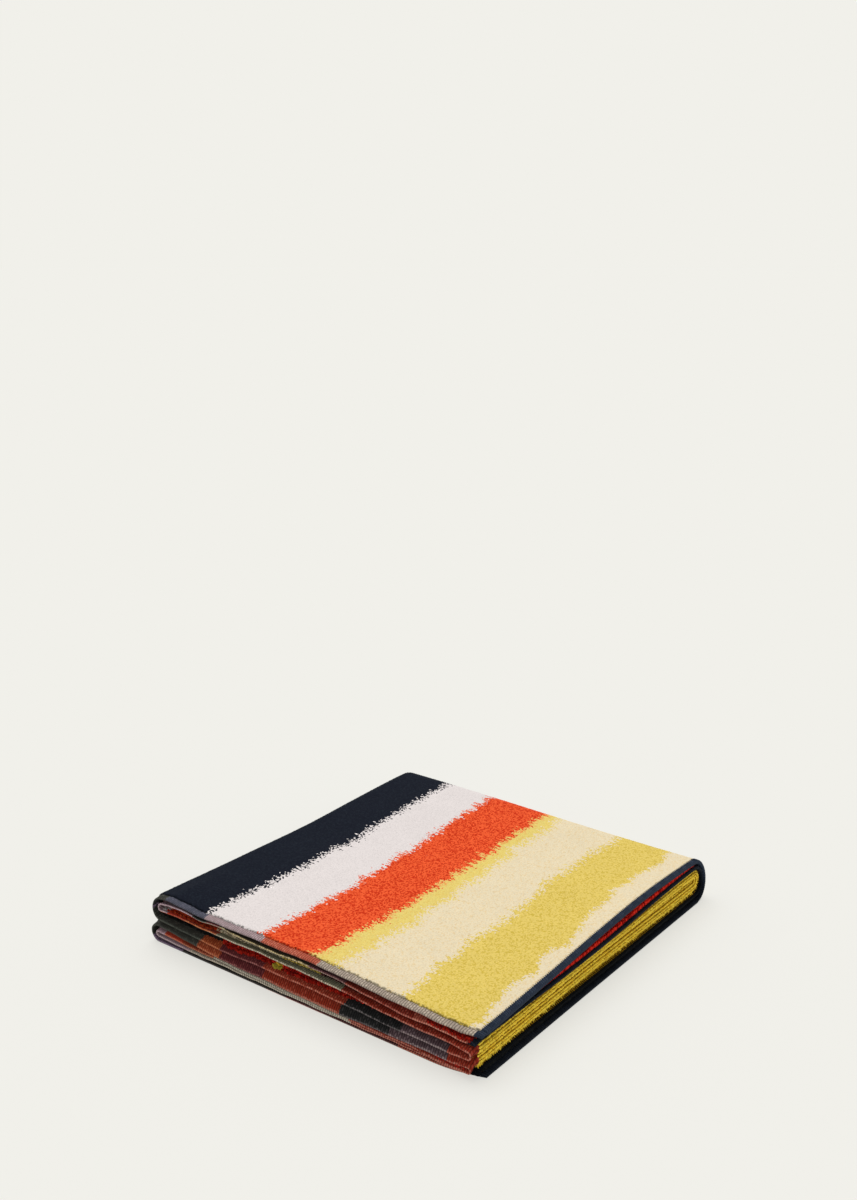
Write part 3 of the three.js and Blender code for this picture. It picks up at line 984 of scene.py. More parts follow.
def tuft_cells_group():
    """Splits the cloth into tufts and says where each one stands, so that colour changes from
    tuft to tuft."""
    labels = ("Along length", "Along width", "Chance A", "Chance B", "Chance C", "Crown")
    tree, given, out = new_group(
        "Tuft cells",
        [("Cloth", VECTOR, None), ("Tuft size", FLOAT, 1.5)],
        [(label, FLOAT) for label in labels],
    )
    cloth = scaled(tree, given["Cloth"], calc(tree, "DIVIDE", 1000.0, given["Tuft size"]))
    inputs = {"Vector": cloth, "Scale": 1.0, "Randomness": 0.9}
    cells = add_node(
        tree, "ShaderNodeTexVoronoi", inputs, voronoi_dimensions="2D", feature="F1"
    )
    place = split(tree, scaled(tree, cells.outputs["Position"], given["Tuft size"]))
    chance = add_node(tree, "ShaderNodeSeparateColor", {"Color": cells.outputs["Color"]})
    crown = calc(tree, "SUBTRACT", 1.0, cells.outputs["Distance"], clamp=True)
    for label, socket in zip(labels, (*place, *chance.outputs, crown)):
        put(tree, out[label], socket)
    return tree


# How a stripe's edge runs, in the order of the tables' columns, with the group's defaults
EDGE_INPUTS = [
    ("At selvage", FLOAT, 0.0),
    ("At fold", FLOAT, 0.0),
    ("Lobe depth", FLOAT, 4.0),
    ("Lobe length", FLOAT, 30.0),
    ("Fringe depth", FLOAT, 2.0),
    ("Fringe length", FLOAT, 6.0),
    ("Scatter", FLOAT, 2.0),
]


def frayed_edge_group():
    """1 past a ragged line across the length, where one colour brushes into the next."""
    places = [(label, FLOAT, 0.0) for label in ("Along length", "Along width", "Toward fold")]
    tree, given, out = new_group(
        "Frayed edge",
        [*places, ("Chance", FLOAT, 0.5), *EDGE_INPUTS, ("Seed", FLOAT, 0.0)],
        [("Past", FLOAT)],
    )
    line = blend_value(tree, given["Toward fold"], given["At selvage"], given["At fold"])
    for kind, shift, stretch, detail in (("Lobe", 0.0, 0.5, 1.5), ("Fringe", 37.0, 0.12, 3.5)):
        length = given[kind + " length"]
        width = calc(tree, "DIVIDE", given["Along width"], length)
        along = calc(tree, "DIVIDE", given["Along length"], length)
        seed = calc(tree, "ADD", given["Seed"], shift)
        inputs = {0: calc(tree, "MULTIPLY", along, stretch), 1: width, 2: seed}
        where = add_node(tree, "ShaderNodeCombineXYZ", inputs).outputs[0]
        ragged = swing(tree, noise(tree, where, 1.0, detail, "3D"), 3.2)
        line = calc(tree, "MULTIPLY_ADD", ragged, given[kind + " depth"], line)
    line = calc(tree, "MULTIPLY_ADD", swing(tree, given["Chance"], 2.0), given["Scatter"], line)
    put(tree, out["Past"], calc(tree, "GREATER_THAN", given["Along length"], line))
    return tree


def weave_group():
    """Plain weave of fine threads: its height and which of its two threads is on top."""
    tree, given, out = new_group(
        "Rib weave",
        [("Cloth", VECTOR, None), ("Rib pitch", FLOAT, 1.1), ("Pick pitch", FLOAT, 0.9)],
        [("Height", FLOAT), ("Second thread", FLOAT), ("Chance", FLOAT)],
    )
    shift = calc(tree, "MULTIPLY", noise(tree, given["Cloth"], 260.0), 0.5)
    heights, cells = [], []
    for place, pitch, share in zip(
        split(tree, given["Cloth"]), ("Rib pitch", "Pick pitch"), (0.85, 0.15)
    ):
        thread = calc(tree, "DIVIDE", calc(tree, "MULTIPLY", place, 1000.0), given[pitch])
        thread = calc(tree, "ADD", thread, shift)
        rise = calc(tree, "SINE", calc(tree, "MULTIPLY", thread, math.pi))
        heights.append(calc(tree, "MULTIPLY", calc(tree, "ABSOLUTE", rise), share))
        cells.append(calc(tree, "FLOOR", thread))
    steps = calc(tree, "ADD", *cells)
    cell = add_node(tree, "ShaderNodeCombineXYZ", dict(enumerate(cells)))
    inputs = {"Vector": cell.outputs[0]}
    chance = add_node(tree, "ShaderNodeTexWhiteNoise", inputs, noise_dimensions="2D")
    put(tree, out["Height"], calc(tree, "ADD", *heights))
    put(tree, out["Second thread"], calc(tree, "MODULO", calc(tree, "ABSOLUTE", steps), 2.0))
    put(tree, out["Chance"], chance.outputs["Value"])
    return tree


def mottle_group():
    """Slow and fine unevenness of a dyed cloth, as a number round 1."""
    tree, given, out = new_group(
        "Dye mottle",
        [("Cloth", VECTOR, None), ("Amount", FLOAT, 0.1)],
        [("Shade", FLOAT)],
    )
    total = 0.0
    for scale, weight in ((28.0, 0.55), (120.0, 0.45)):
        uneven = swing(tree, noise(tree, given["Cloth"], scale, 3.0), 2 * weight)
        total = calc(tree, "ADD", total, uneven)
    put(tree, out["Shade"], calc(tree, "MULTIPLY_ADD", total, given["Amount"], 1.0))
    return tree


# The right side's stripes from the top hem: name, start at the selvage, start at the fold,
# lobe depth and length, fringe depth and length, scatter
STRIPES = [
    ("cream", 0, 0, 0, 30, 0, 6, 0),
    ("wide_yellow", 13, 32, 8, 46, 4, 4.5, 4),
    ("cream", 78, 92, 10, 60, 8, 4.5, 7),
    ("yellow", 146, 157, 7, 40, 7, 4.5, 8),
    ("apricot", 170, 175, 4, 26, 9, 3.2, 5),
    ("red", 171.5, 176.5, 4, 26, 10, 3.2, 5),
    ("rose", 231, 247, 4, 24, 9, 3.2, 3.0),
    ("white", 232, 248, 4, 24, 9, 3.2, 4.6),
    ("navy", 300, 305, 3.5, 38, 7, 2.8, 6.5),
    ("red", 445, 452, 3, 30, 2, 6, 3),
    ("plum", 469, 475, 3, 30, 2, 6, 3),
    ("navy", 611, 611, 3, 30, 2, 6, 3),
    ("gold", 690, 690, 3, 30, 2, 6, 3),
    ("plum", 800, 800, 3, 30, 2, 6, 3),
    ("wide_yellow", 905, 905, 3, 40, 2, 9, 4),
    ("cream", 950, 950, 6, 40, 4, 9, 8),
    ("red", 1030, 1030, 4, 30, 3, 7, 4),
    ("white", 1092, 1092, 4, 30, 3, 7, 4),
    ("navy", 1154, 1154, 3, 30, 3, 7, 4),
    ("plum", 1172, 1172, 3, 30, 3, 7, 4),
    ("wide_yellow", 1192, 1192, 5, 40, 4, 9, 8),
    ("cream", 1260, 1260, 6, 40, 4, 9, 8),
    ("plum", 1300, 1300, 3, 30, 3, 7, 4),
    ("gold", 1400, 1400, 6, 40, 4, 9, 8),
]

# The loops round the crease have one colour
CREASE_STRIPES = [("gold_loop", 0, 0, 0, 30, 0, 6, 0)]

# The reverse, in the same columns
REVERSE = [
    ("deep_red", 0, 0, 0, 30, 0, 6, 0),
    ("green_black", 96, 96, 5, 40, 3, 8, 4),
    ("deep_red", 160, 160, 5, 40, 3, 8, 4),
    ("plum", 230, 230, 5, 40, 3, 8, 4),
    ("green_black", 300, 300, 4, 40, 3, 8, 4),
    ("deep_red", 467, 470, 2, 30, 2, 8, 2),
    ("lemon", 529, 529, 1, 20, 1, 8, 1),
    ("deep_red", 539, 539, 1, 20, 1, 8, 1),
    ("deep_red", 700, 700, 4, 30, 3, 8, 4),
    ("yellow", 949, 949, 3, 20, 3, 8, 3),
    ("deep_red", 961, 961, 3, 20, 3, 8, 3),
    ("mauve", 1088, 1088, 4, 30, 3, 8, 4),
    ("green_black", 1154, 1154, 4, 30, 3, 8, 4),
    ("plum", 1190, 1190, 4, 30, 3, 8, 4),
    ("deep_red", 1360, 1360, 5, 40, 3, 8, 4),
]

# Each dye: its colour, the colour of its specks, the share of tufts that are specks
DYES = {
    "cream": ((236, 221, 188), (232, 206, 156), 0.10),
    "wide_yellow": ((232, 206, 110), (212, 184, 76), 0.24),
    "yellow": ((234, 212, 122), (230, 198, 100), 0.2),
    "apricot": ((240, 158, 84), (236, 196, 116), 0.5),
    "red": ((246, 98, 52), (206, 52, 20), 0.36),
    "rose": ((238, 140, 112), (228, 100, 72), 0.5),
    "mauve": ((176, 92, 96), (150, 70, 84), 0.4),
    "white": ((232, 224, 222), (226, 218, 216), 0.15),
    "navy": ((23, 27, 38), (30, 36, 46), 0.2),
    # gold is darkened as painted shade for the ground between the rows of loops round the crease;
    # the loops themselves take gold_loop.
    "gold": ((176, 138, 26), (128, 98, 16), 0.4),
    "gold_loop": ((252, 222, 78), (236, 198, 58), 0.3),
    "lemon": ((255, 228, 84), (255, 210, 60), 0.3),
    "plum": ((92, 44, 48), (60, 30, 36), 0.3),
    "deep_red": ((242, 54, 36), (178, 26, 18), 0.3),
    "green_black": ((26, 28, 28), (44, 46, 44), 0.3),
}

# Woven edge bands along the length, on the right side and on the reverse: start, ground thread,
# second thread, and the colour along the very edge, partly the edge threads' own and partly a
# painted highlight where the edge catches the light, so lighter than the ground in most rows
FACE_BANDS = [
    (0, (158, 144, 131), (194, 180, 163), (142, 130, 120)),
    (160, (174, 86, 66), (200, 118, 96), (150, 78, 62)),
    (227, (158, 138, 140), (184, 164, 166), (142, 124, 126)),
    (293, (78, 80, 92), (104, 102, 116), (76, 76, 88)),
    (350, (56, 56, 51), (84, 84, 76), (70, 72, 66)),
    (443, (140, 62, 36), (172, 94, 62), (190, 116, 84)),
    (469, (86, 34, 36), (114, 56, 56), (150, 96, 92)),
    (527, (128, 42, 26), (160, 72, 54), (186, 118, 100)),
    (611, (34, 34, 34), (58, 56, 56), (104, 98, 98)),
    (664, (76, 60, 64), (112, 94, 98), (150, 132, 132)),
    (723, (126, 38, 24), (158, 70, 54), (186, 118, 102)),
    (780, (120, 36, 22), (154, 70, 56), (186, 118, 102)),
    (874, (112, 110, 90), (142, 138, 114), (204, 190, 168)),
    (1021, (130, 46, 28), (168, 80, 52), (206, 130, 84)),
    (1063, (160, 38, 20), (190, 66, 40), (176, 84, 66)),
    (1085, (140, 118, 124), (176, 150, 154), (190, 170, 172)),
    (1160, (142, 134, 120), (184, 172, 154), (200, 188, 172)),
    (1350, (120, 38, 24), (154, 70, 56), (186, 124, 108)),
]
BACK_BANDS = [
    (0, (120, 38, 26), (150, 74, 58), (176, 110, 94)),
    (77, (66, 34, 36), (96, 60, 60), (110, 76, 74)),
    (200, (48, 46, 44), (74, 70, 66), (78, 74, 70)),
    (330, (104, 88, 108), (144, 124, 146), (130, 114, 134)),
    (372, (50, 52, 47), (80, 82, 75), (84, 88, 80)),
    (445, (130, 56, 28), (160, 86, 50), (184, 112, 78)),
    (465, (82, 32, 34), (110, 54, 54), (150, 94, 90)),
    (521, (130, 46, 30), (160, 80, 60), (186, 114, 96)),
    (610, (30, 30, 30), (54, 52, 52), (108, 102, 102)),
    (668, (74, 58, 62), (110, 94, 98), (150, 134, 134)),
    (716, (126, 40, 26), (158, 76, 60), (190, 120, 104)),
    (780, (120, 42, 28), (154, 76, 62), (186, 116, 100)),
    (876, (132, 124, 110), (176, 166, 148), (190, 180, 164)),
    (1035, (124, 50, 30), (154, 82, 56), (186, 118, 90)),
    (1073, (156, 50, 32), (184, 88, 60), (196, 118, 92)),
    (1098, (146, 118, 126), (186, 156, 164), (196, 172, 180)),
    (1154, (38, 42, 38), (64, 68, 62), (74, 78, 72)),
    (1170, (100, 44, 46), (132, 72, 72), (150, 96, 94)),
    # Painted shade: the tucked layer's band from here lies in shadow under the top layer, so its
    # ground is nearly black.
    (1189, (66, 56, 40), (92, 80, 58), (226, 204, 150)),
    (1292, (98, 60, 62), (126, 88, 88), (144, 106, 104)),
    (1335, (120, 40, 28), (154, 74, 62), (180, 110, 96)),
    (1405, (150, 70, 54), (184, 108, 90), (200, 134, 116)),
]


# Ends of the length, in millimetres, past which the lower half of the reverse takes a dark colour
# as painted shade
LOWER_SHADE_BEFORE = 90.0
LOWER_SHADE_PAST = 1360.0


def stripes_group(name, table, cells, frayed, painted_shade_dye=None):
    """Stripes across the length, tuft by tuft, with frayed edges and specks. The last argument
    names a dark dye that paints shade on the lower half near both hems."""
    tree, given, out = new_group(
        name,
        [("Cloth", VECTOR, None), ("Tuft size", FLOAT, 1.5)],
        [("Colour", COLOUR), ("Crown", FLOAT), ("Chance", FLOAT)],
    )
    tufts = use_group(tree, cells, {"Cloth": given["Cloth"], "Tuft size": given["Tuft size"]})
    half = CLOTH_WIDTH / 2
    off_middle = calc(tree, "ABSOLUTE", calc(tree, "SUBTRACT", tufts["Along width"], half))
    toward = calc(tree, "SUBTRACT", 1.0, calc(tree, "DIVIDE", off_middle, half), clamp=True)
    main, specks, amount = DYES[table[0][0]]
    colour, speck = linear(*main), linear(*specks)
    for row, (dye, *edge) in enumerate(table[1:]):
        inputs = {label: float(value) for (label, *_), value in zip(EDGE_INPUTS, edge)}
        inputs["Along length"] = tufts["Along length"]
        inputs["Along width"] = tufts["Along width"]
        inputs["Toward fold"] = toward
        inputs["Chance"] = tufts[("Chance A", "Chance B")[row % 2]]
        inputs["Seed"] = 3.7 * row + len(table)
        past = use_group(tree, frayed, inputs)["Past"]
        main, specks, share = DYES[dye]
        colour = blend_colour(tree, past, colour, linear(*main))
        speck = blend_colour(tree, past, speck, linear(*specks))
        amount = blend_value(tree, past, amount, share)
    # Painted shade: the lower half near both hems takes the dark colour.
    if painted_shade_dye:
        main, specks, _ = DYES[painted_shade_dye]
        past = calc(tree, "GREATER_THAN", tufts["Along width"], half)
        near = calc(tree, "LESS_THAN", tufts["Along length"], LOWER_SHADE_BEFORE)
        far = calc(tree, "GREATER_THAN", tufts["Along length"], LOWER_SHADE_PAST)
        past = calc(tree, "MULTIPLY", past, calc(tree, "MAXIMUM", near, far))
        colour = blend_colour(tree, past, colour, linear(*main))
        speck = blend_colour(tree, past, speck, linear(*specks))
    most = calc(tree, "ADD", amount, 0.3)
    least = calc(tree, "SUBTRACT", amount, 0.2)
    even = ramp_value(tree, tufts["Chance C"], least, most, 1.0, 0.0)
    put(tree, out["Colour"], blend_colour(tree, even, colour, speck))
    put(tree, out["Crown"], tufts["Crown"])
    put(tree, out["Chance"], tufts["Chance B"])
    return tree


def bands_group(name, table):
    """Woven bands along the length: ground, second thread and rim by the place along it."""
    tree, given, out = new_group(
        name,
        [("Cloth", VECTOR, None)],
        [("Ground", COLOUR), ("Second", COLOUR), ("Rim", COLOUR)],
    )
    inputs = {0: given["Cloth"], 1: (MM, MM, MM)}
    cell = add_node(tree, "ShaderNodeVectorMath", inputs, operation="SNAP")
    inputs = {"Vector": cell.outputs[0]}
    wobble = add_node(tree, "ShaderNodeTexWhiteNoise", inputs, noise_dimensions="2D")
    along, _ = split(tree, given["Cloth"])
    place = calc(tree, "MULTIPLY_ADD", wobble.outputs["Value"], 0.0014, along)
    share = calc(tree, "DIVIDE", place, CLOTH_LENGTH * MM)
    for column, label in ((1, "Ground"), (2, "Second"), (3, "Rim")):
        ramp = add_node(tree, "ShaderNodeValToRGB", {"Fac": share})
        ramp.color_ramp.interpolation = "CONSTANT"
        points = ramp.color_ramp.elements
        while len(points) < len(table):
            points.new(1.0)
        for point, row in zip(points, table):
            point.position = row[0] / CLOTH_LENGTH
        for point, row in zip(points, table):
            point.color = linear(*row[column])
        put(tree, out[label], ramp.outputs["Color"])
    return tree


# Materials

def new_material(name):
    material = bpy.data.materials.new(name)
    material.use_nodes = True
    tree = material.node_tree
    tree.nodes.clear()
    shader = add_node(tree, "ShaderNodeBsdfPrincipled")
    end = add_node(tree, "ShaderNodeOutputMaterial")
    tree.links.new(shader.outputs[0], end.inputs["Surface"])
    cloth = add_node(tree, "ShaderNodeUVMap", uv_map="Cloth")
    return material, tree, shader, cloth.outputs[0]


def cotton(shader, sheen, roughness):
    """What is the same all over a cotton surface."""
    shader.inputs["Sheen Weight"].default_value = sheen
    shader.inputs["Sheen Roughness"].default_value = 0.45
    shader.inputs["Specular IOR Level"].default_value = 0.03
    shader.inputs["Roughness"].default_value = roughness


def from_selvage(tree, across):
    """Distance from the nearer selvage, in metres."""
    half = CLOTH_WIDTH / 2 * MM
    off_middle = calc(tree, "ABSOLUTE", calc(tree, "SUBTRACT", across, half))
    return calc(tree, "SUBTRACT", half, off_middle)


def dress(tree, shader, colour, shade, rough, height, strength, depth):
    """Gives the shader its colour times the shade, a roughness and a bump, whose depth is in
    millimetres. rough: the socket it follows, and the roughness where that is 0 and 1."""
    grey = add_node(tree, "ShaderNodeCombineColor", {0: shade, 1: shade, 2: shade})
    colour = blend_colour(tree, 1.0, colour, grey.outputs[0], "MULTIPLY")
    put(tree, shader.inputs["Base Color"], colour)
    follows, low, high = rough
    put(tree, shader.inputs["Roughness"], ramp_value(tree, follows, 0, 1, low, high))
    inputs = {"Height": height, "Strength": strength, "Distance": depth * MM}
    put(tree, shader.inputs["Normal"], add_node(tree, "ShaderNodeBump", inputs).outputs[0])


def pile_material(name, stripes, mottle, look):
    """Pile coloured tuft by tuft. look: tuft size, bump height, shade between tufts, sheen."""
    size, bump_height, between, sheen = look
    material, tree, shader, cloth = new_material(name)
    cotton(shader, sheen, 0.92)
    pile = use_group(tree, stripes, {"Cloth": cloth, "Tuft size": size})
    shade = use_group(tree, mottle, {"Cloth": cloth, "Amount": 0.05})["Shade"]
    # Painted shade between tufts: full colour on their crowns, darker in the gaps.
    crown = ramp_value(tree, pile["Crown"], 0.15, 0.75, between, 1.0)
    single = calc(tree, "MULTIPLY_ADD", pile["Chance"], 0.06, 0.97)
    # A broken dark line along the pile's edge beside the bare selvage: partly the dark warp
    # there, partly painted shade of the pile's step.
    _, across = split(tree, cloth)
    rim = calc(tree, "MULTIPLY_ADD", pile["Chance"], 0.0018, from_selvage(tree, across))
    rim = ramp_value(tree, rim, 0.0076, 0.0084, 0.4, 1.0)
    shade = times(tree, shade, crown, single, rim)
    height = calc(tree, "MULTIPLY_ADD", noise(tree, cloth, 2200.0), 0.35, pile["Crown"])
    rough = (pile["Crown"], 0.98, 0.86)
    dress(tree, shader, pile["Colour"], shade, rough, height, 0.6, bump_height)
    return material


# Where the selvage lies inside the upper left fold, in metres from the top hem, and the dark
# green painted there as shade
IN_UPPER_FOLD = (0.33, 0.372)
FOLD_SHADE_COLOUR = (36, 41, 35)


def band_material(name, bands, weave, mottle, fold_shade=0.0):
    """Flat woven selvage with fine ribs across it and two threads. The last argument says how
    much painted shade, in a dark green, it takes inside the upper left fold."""
    material, tree, shader, cloth = new_material(name)
    cotton(shader, 0.05, 0.85)
    threads = use_group(tree, bands, {"Cloth": cloth})
    ribs = use_group(tree, weave, {"Cloth": cloth, "Rib pitch": 2.3, "Pick pitch": 1.6})
    chance = ramp_value(tree, ribs["Chance"], 0.35, 0.65)
    second = calc(tree, "MULTIPLY", ribs["Second thread"], calc(tree, "MULTIPLY", chance, 0.6))
    colour = blend_colour(tree, second, threads["Ground"], threads["Second"])
    shade = use_group(tree, mottle, {"Cloth": cloth, "Amount": 0.16})["Shade"]
    # Painted shade in the grooves between the ribs and painted highlight on their tops.
    shade = times(tree, shade, ramp_value(tree, ribs["Height"], 0.2, 0.85, 0.46, 1.18))
    along, across = split(tree, cloth)
    # Painted shade inside the upper left fold: the selvage there is blended to a dark green.
    upper = calc(tree, "LESS_THAN", across, CLOTH_WIDTH / 2 * MM)
    past = calc(tree, "GREATER_THAN", along, IN_UPPER_FOLD[0])
    before = calc(tree, "LESS_THAN", along, IN_UPPER_FOLD[1])
    folded = times(tree, past, before, upper, fold_shade)
    # The very edge takes its own colour: partly the edge threads, partly a painted highlight.
    rim = calc(tree, "MULTIPLY_ADD", ribs["Chance"], 0.0006, from_selvage(tree, across))
    rim = ramp_value(tree, rim, 0.0003, 0.0008, 0.8, 0.0)
    colour = blend_colour(tree, rim, colour, threads["Rim"])
    colour = blend_colour(tree, folded, colour, linear(*FOLD_SHADE_COLOUR))
    rough = (ribs["Height"], 0.95, 0.75)
    dress(tree, shader, colour, shade, rough, ribs["Height"], 0.7, 0.35)
    return material


def hem_material(name, ground, second, weave, mottle):
    """Navy hem, with painted shade where it comes round to the lower half and along the tucked
    hem, and in the grooves between its ribs.
    """
    material, tree, shader, cloth = new_material(name)
    cotton(shader, 0.05, 0.8)
    ribs = use_group(tree, weave, {"Cloth": cloth, "Rib pitch": 0.8, "Pick pitch": 1.1})
    colour = blend_colour(tree, ribs["Second thread"], linear(*ground), linear(*second))
    shade = use_group(tree, mottle, {"Cloth": cloth, "Amount": 0.2})["Shade"]
    # Painted shade in the grooves between the ribs.
    painted_rib_shade = ramp_value(tree, ribs["Height"], 0.1, 0.8, 0.6, 1.05)
    along, across = split(tree, cloth)
    # Painted shade: the hem darkens to 0.3 on the lower half and to 0.35 along the tucked hem.
    start, end = (TURN_START + FOLD_ARC * 0.35) * MM, (TURN_START + FOLD_ARC * 0.75) * MM
    lower = ramp_value(tree, across, start, end, 1.0, 0.3)
    shade = times(tree, shade, painted_rib_shade, lower, ramp_value(tree, along, 0.6, 0.7, 1.0, 0.35))
    rough = (ribs["Height"], 0.92, 0.7)
    dress(tree, shader, colour, shade, rough, ribs["Height"], 0.6, 0.3)
    return material


def cloth_materials():
    """All finishes of the cloth, made once."""
    if "velour_stripes" in bpy.data.materials:
        names = ("velour_stripes", "loop_reverse", "band_face", "band_back", "hem_navy")
        return [bpy.data.materials[name] for name in (*names, "hem_thread", "crease_gold")]
    cells = tuft_cells_group()
    frayed = frayed_edge_group()
    weave = weave_group()
    mottle = mottle_group()
    face = stripes_group("Stripes of the right side", STRIPES, cells, frayed)
    back = stripes_group("Stripes of the reverse", REVERSE, cells, frayed, "green_black")
    crease = stripes_group("Colour of the crease", CREASE_STRIPES, cells, frayed)
    return [
        pile_material("velour_stripes", face, mottle, (1.35, 0.3, 0.88, 0.02)),
        pile_material("loop_reverse", back, mottle, (1.7, 0.6, 0.6, 0.03)),
        band_material("band_face", bands_group("Face bands", FACE_BANDS), weave, mottle),
        band_material("band_back", bands_group("Back bands", BACK_BANDS), weave, mottle, 0.9),
        hem_material("hem_navy", (34, 42, 56), (48, 58, 74), weave, mottle),
        hem_material("hem_thread", (44, 54, 70), (62, 72, 90), weave, mottle),
        pile_material("crease_gold", crease, mottle, (1.2, 0.3, 0.75, 0.03)),
    ]


# Settings

class ClothSettings(bpy.types.PropertyGroup):
    """Sizes of the cloth's meshes."""

    flat_steps: bpy.props.IntProperty(
        name="Steps across the width",
        description="Rows of the cloth's mesh on each flat half",
        default=44,
        min=8,
    )
    run_steps: bpy.props.IntProperty(
        name="Steps along the length",
        description="Columns of the cloth's mesh on each of its four runs",
        default=62,
        min=8,
    )
    fold_steps: bpy.props.IntProperty(
        name="Steps round the fold",
        description="Rows of the cloth's mesh round the lengthwise fold",
        default=24,
        min=6,
    )
    pile_step: bpy.props.FloatProperty(
        name="Tuft spacing",
        description="Mesh step of the fine pile",
        default=0.00125,
        min=0.0011,
        unit="LENGTH",
        subtype="DISTANCE",
    )
    pile_relief: bpy.props.FloatProperty(
        name="Pile relief",
        description="How far the crowns of the tufts stand over the ground between them",
        default=0.00028,
        unit="LENGTH",
        subtype="DISTANCE",
    )
    pile_depth: bpy.props.FloatProperty(
        name="Pile depth",
        description="How far the cloth lies under the fine pile on it",
        default=0.0007,
        unit="LENGTH",
        subtype="DISTANCE",
    )
    stitch_pitch: bpy.props.FloatProperty(
        name="Stitch pitch",
        description="Distance from stitch to stitch along the hems",
        default=0.0025,
        unit="LENGTH",
        subtype="DISTANCE",
    )


class StageSettings(bpy.types.PropertyGroup):
    """The floor and the light."""

    backdrop: bpy.props.FloatVectorProperty(
        name="Backdrop",
        description="Colour of the floor and of what is behind it",
        subtype="COLOR",
        size=4,
        min=0.0,
        max=1.0,
        default=linear(241, 240, 234),
    )
    shadow_share: bpy.props.FloatProperty(
        name="Shadow share",
        description="Share of the floor's brightness that shadows can take away",
        subtype="FACTOR",
        min=0.0,
        max=1.0,
        default=0.33,
    )
    dome: bpy.props.FloatProperty(
        name="Dome light",
        description="Strength of the even light from all round",
        default=0.66,
        min=0.0,
    )
    key: bpy.props.FloatProperty(
        name="Key light",
        description="Strength of the large soft light from above",
        default=1.36,
        min=0.0,
    )


# Operators

class BATHSHEET_OT_cloth(bpy.types.Operator):
    """Make the folded cloth with its selvages and hems"""

    bl_idname = "bath_sheet.cloth"
    bl_label = "Folded cloth"

    def execute(self, context):
        build_cloth(context.scene.bath_sheet_cloth, cloth_materials()[:5])
        return {"FINISHED"}


class BATHSHEET_OT_pile(bpy.types.Operator):
    """Lay the fine pile on the sides that show"""

    bl_idname = "bath_sheet.pile"
    bl_label = "Pile"

    def execute(self, context):
        build_pile(context.scene.bath_sheet_cloth, cloth_materials()[:1])
        return {"FINISHED"}


class BATHSHEET_OT_loops(bpy.types.Operator):
    """Stand the loops round the crease and along the edges of the pile"""

    bl_idname = "bath_sheet.loops"
    bl_label = "Loops"

    def execute(self, context):
        face, reverse, *_, gold = cloth_materials()
        build_crease_loops(gold)
        build_edge_loops(face, reverse)
        build_gap_loops(face, reverse)
        return {"FINISHED"}


class BATHSHEET_OT_stitches(bpy.types.Operator):
    """Sew the stitches over the hems"""

    bl_idname = "bath_sheet.stitches"
    bl_label = "Hem stitches"

    def execute(self, context):
        build_hem_stitches(context.scene.bath_sheet_cloth, cloth_materials()[5])
        return {"FINISHED"}


class BATHSHEET_OT_stage(bpy.types.Operator):
    """Set the floor, the light and the camera"""

    bl_idname = "bath_sheet.stage"
    bl_label = "Stage"

    def execute(self, context):
        settings = context.scene.bath_sheet_stage
        build_floor(settings)
        build_light(context, settings)
        build_camera(context)
        return {"FINISHED"}


FLOOR_REACH = 400.0
FLOOR_LEVEL = -0.0002
DOME_COLOUR = (1.0, 0.995, 0.98)
KEY_LEAN = (-16, -20)


def build_floor(settings):
    """A pale floor as far as the horizon, which only darkens where the cloth shades it."""
    signs = ((-1, -1), (1, -1), (1, 1), (-1, 1))
    corners = [(x * FLOOR_REACH, y * FLOOR_REACH, 0) for x, y in signs]
    mesh = bpy.data.meshes.new("floor")
    mesh.from_pydata(corners, [], [(0, 1, 2, 3)])
    floor = bpy.data.objects.new("floor", mesh)
    floor.location.z = FLOOR_LEVEL
    bpy.context.scene.collection.objects.link(floor)
    material = bpy.data.materials.new("pale_floor")
    material.use_nodes = True
    tree = material.node_tree
    shader = tree.nodes["Principled BSDF"]
    glow = 1 - settings.shadow_share
    lean = math.cos(math.radians(KEY_LEAN[0])) * math.cos(math.radians(KEY_LEAN[1]))
    level = settings.key * lean / math.pi
    shader.inputs["Base Color"].default_value = (
        *(
            seen * settings.shadow_share / (settings.dome * light + level)
            for seen, light in zip(settings.backdrop, DOME_COLOUR)
        ),
        1.0,
    )
    shader.inputs["Roughness"].default_value = 1.0
    shader.inputs["Specular IOR Level"].default_value = 0.0
    shader.inputs["Emission Color"].default_value = settings.backdrop
    shader.inputs["Emission Strength"].default_value = glow
    mesh.materials.append(material)


def build_light(context, settings):
    """An even dome and one large soft light from above, a little from the left."""
    world = bpy.data.worlds.new("studio")
    world.use_nodes = True
    tree = world.node_tree
    tree.nodes.clear()
    seen = add_node(tree, "ShaderNodeBackground", {"Color": tuple(settings.backdrop)})
    lit = add_node(tree, "ShaderNodeBackground", {"Color": (*DOME_COLOUR, 1.0)})
    lit.inputs["Strength"].default_value = settings.dome
    path = add_node(tree, "ShaderNodeLightPath")
    both = add_node(tree, "ShaderNodeMixShader")
    put(tree, both.inputs[0], path.outputs["Is Camera Ray"])
    put(tree, both.inputs[1], lit.outputs[0])
    put(tree, both.inputs[2], seen.outputs[0])
    end = add_node(tree, "ShaderNodeOutputWorld")
    put(tree, end.inputs["Surface"], both.outputs[0])
    context.scene.world = world
    lamp = bpy.data.lights.new("key", "SUN")
    lamp.energy = settings.key
    lamp.angle = math.radians(50)
    key = bpy.data.objects.new("key", lamp)
    key.rotation_euler = (math.radians(KEY_LEAN[0]), math.radians(KEY_LEAN[1]), 0.0)
    context.scene.collection.objects.link(key)


# The camera, measured in the fold's own millimetres
CAMERA_PLACE = (887.9, -736.7, 609.5)
CAMERA_PITCH = 14.124
CAMERA_TURN = 37.238
FOCAL_SHARE = 1324 / 1200
SENSOR = 36.0


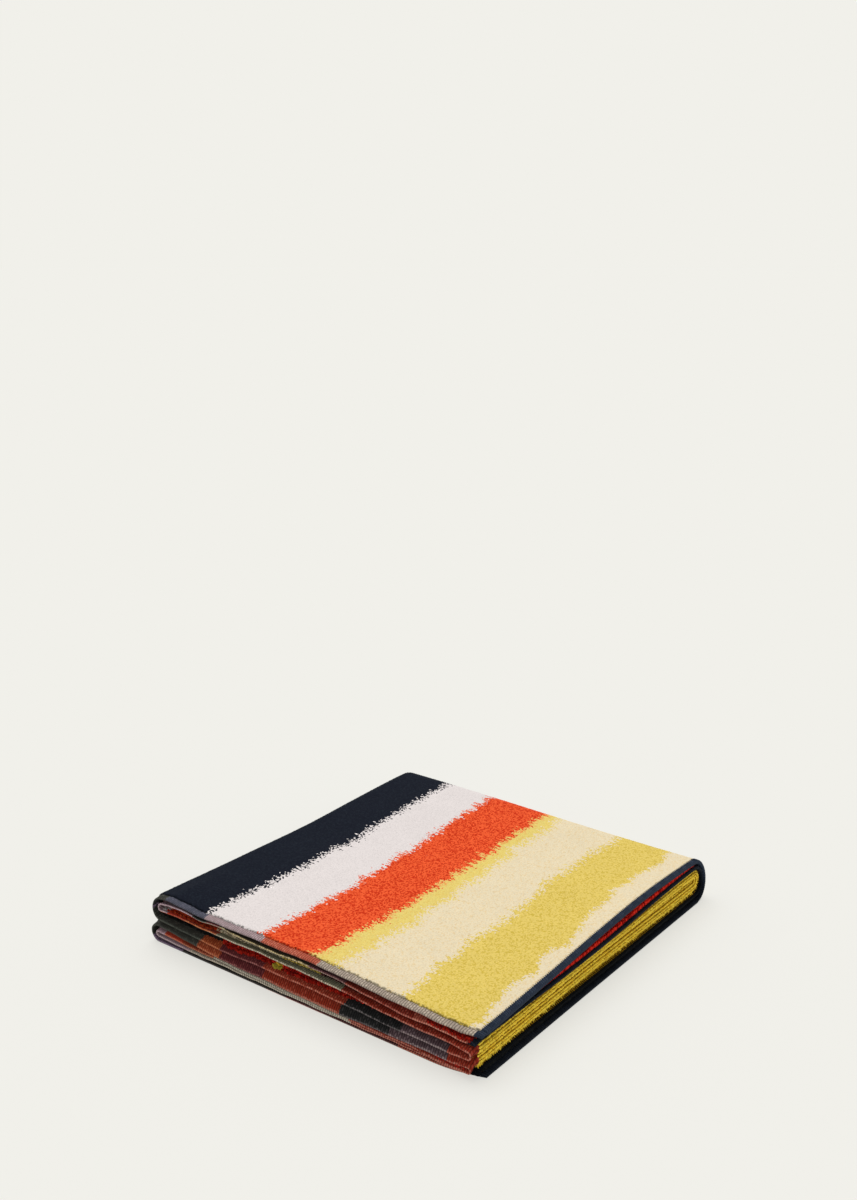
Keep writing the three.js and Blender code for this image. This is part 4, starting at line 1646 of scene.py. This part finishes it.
def build_camera(context):
    data = bpy.data.cameras.new("camera")
    data.sensor_fit = "VERTICAL"
    data.sensor_width = SENSOR
    data.sensor_height = SENSOR
    data.lens = SENSOR * FOCAL_SHARE
    data.clip_start = 0.01
    data.clip_end = 2000
    camera = bpy.data.objects.new("camera", data)
    camera.location = to_frame(np.array(CAMERA_PLACE))
    camera.rotation_euler = (math.radians(90 - CAMERA_PITCH), 0, math.radians(CAMERA_TURN))
    context.scene.collection.objects.link(camera)
    context.scene.camera = camera
    context.scene.view_settings.view_transform = "Standard"


class BATHSHEET_PT_panel(bpy.types.Panel):
    """Shows the settings and the buttons that make the bath sheet"""

    bl_idname = "BATHSHEET_PT_panel"
    bl_label = "Bath sheet"
    bl_space_type = "VIEW_3D"
    bl_region_type = "UI"
    bl_category = "Bath sheet"

    def draw(self, context):
        layout = self.layout
        for group in (context.scene.bath_sheet_cloth, context.scene.bath_sheet_stage):
            box = layout.box()
            for name in group.__annotations__:
                box.prop(group, name)
        for operator in OPERATORS:
            layout.operator(operator.bl_idname)


OPERATORS = (
    BATHSHEET_OT_cloth,
    BATHSHEET_OT_pile,
    BATHSHEET_OT_loops,
    BATHSHEET_OT_stitches,
    BATHSHEET_OT_stage,
)
CLASSES = (ClothSettings, StageSettings, *OPERATORS, BATHSHEET_PT_panel)


def register():
    for cls in CLASSES:
        bpy.utils.register_class(cls)
    bpy.types.Scene.bath_sheet_cloth = bpy.props.PointerProperty(type=ClothSettings)
    bpy.types.Scene.bath_sheet_stage = bpy.props.PointerProperty(type=StageSettings)


def unregister():
    del bpy.types.Scene.bath_sheet_stage
    del bpy.types.Scene.bath_sheet_cloth
    for cls in reversed(CLASSES):
        bpy.utils.unregister_class(cls)


def main():
    register()
    bpy.ops.bath_sheet.stage()
    bpy.ops.bath_sheet.cloth()
    bpy.ops.bath_sheet.pile()
    bpy.ops.bath_sheet.loops()
    bpy.ops.bath_sheet.stitches()
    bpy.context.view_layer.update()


if __name__ == "__main__":
    main()
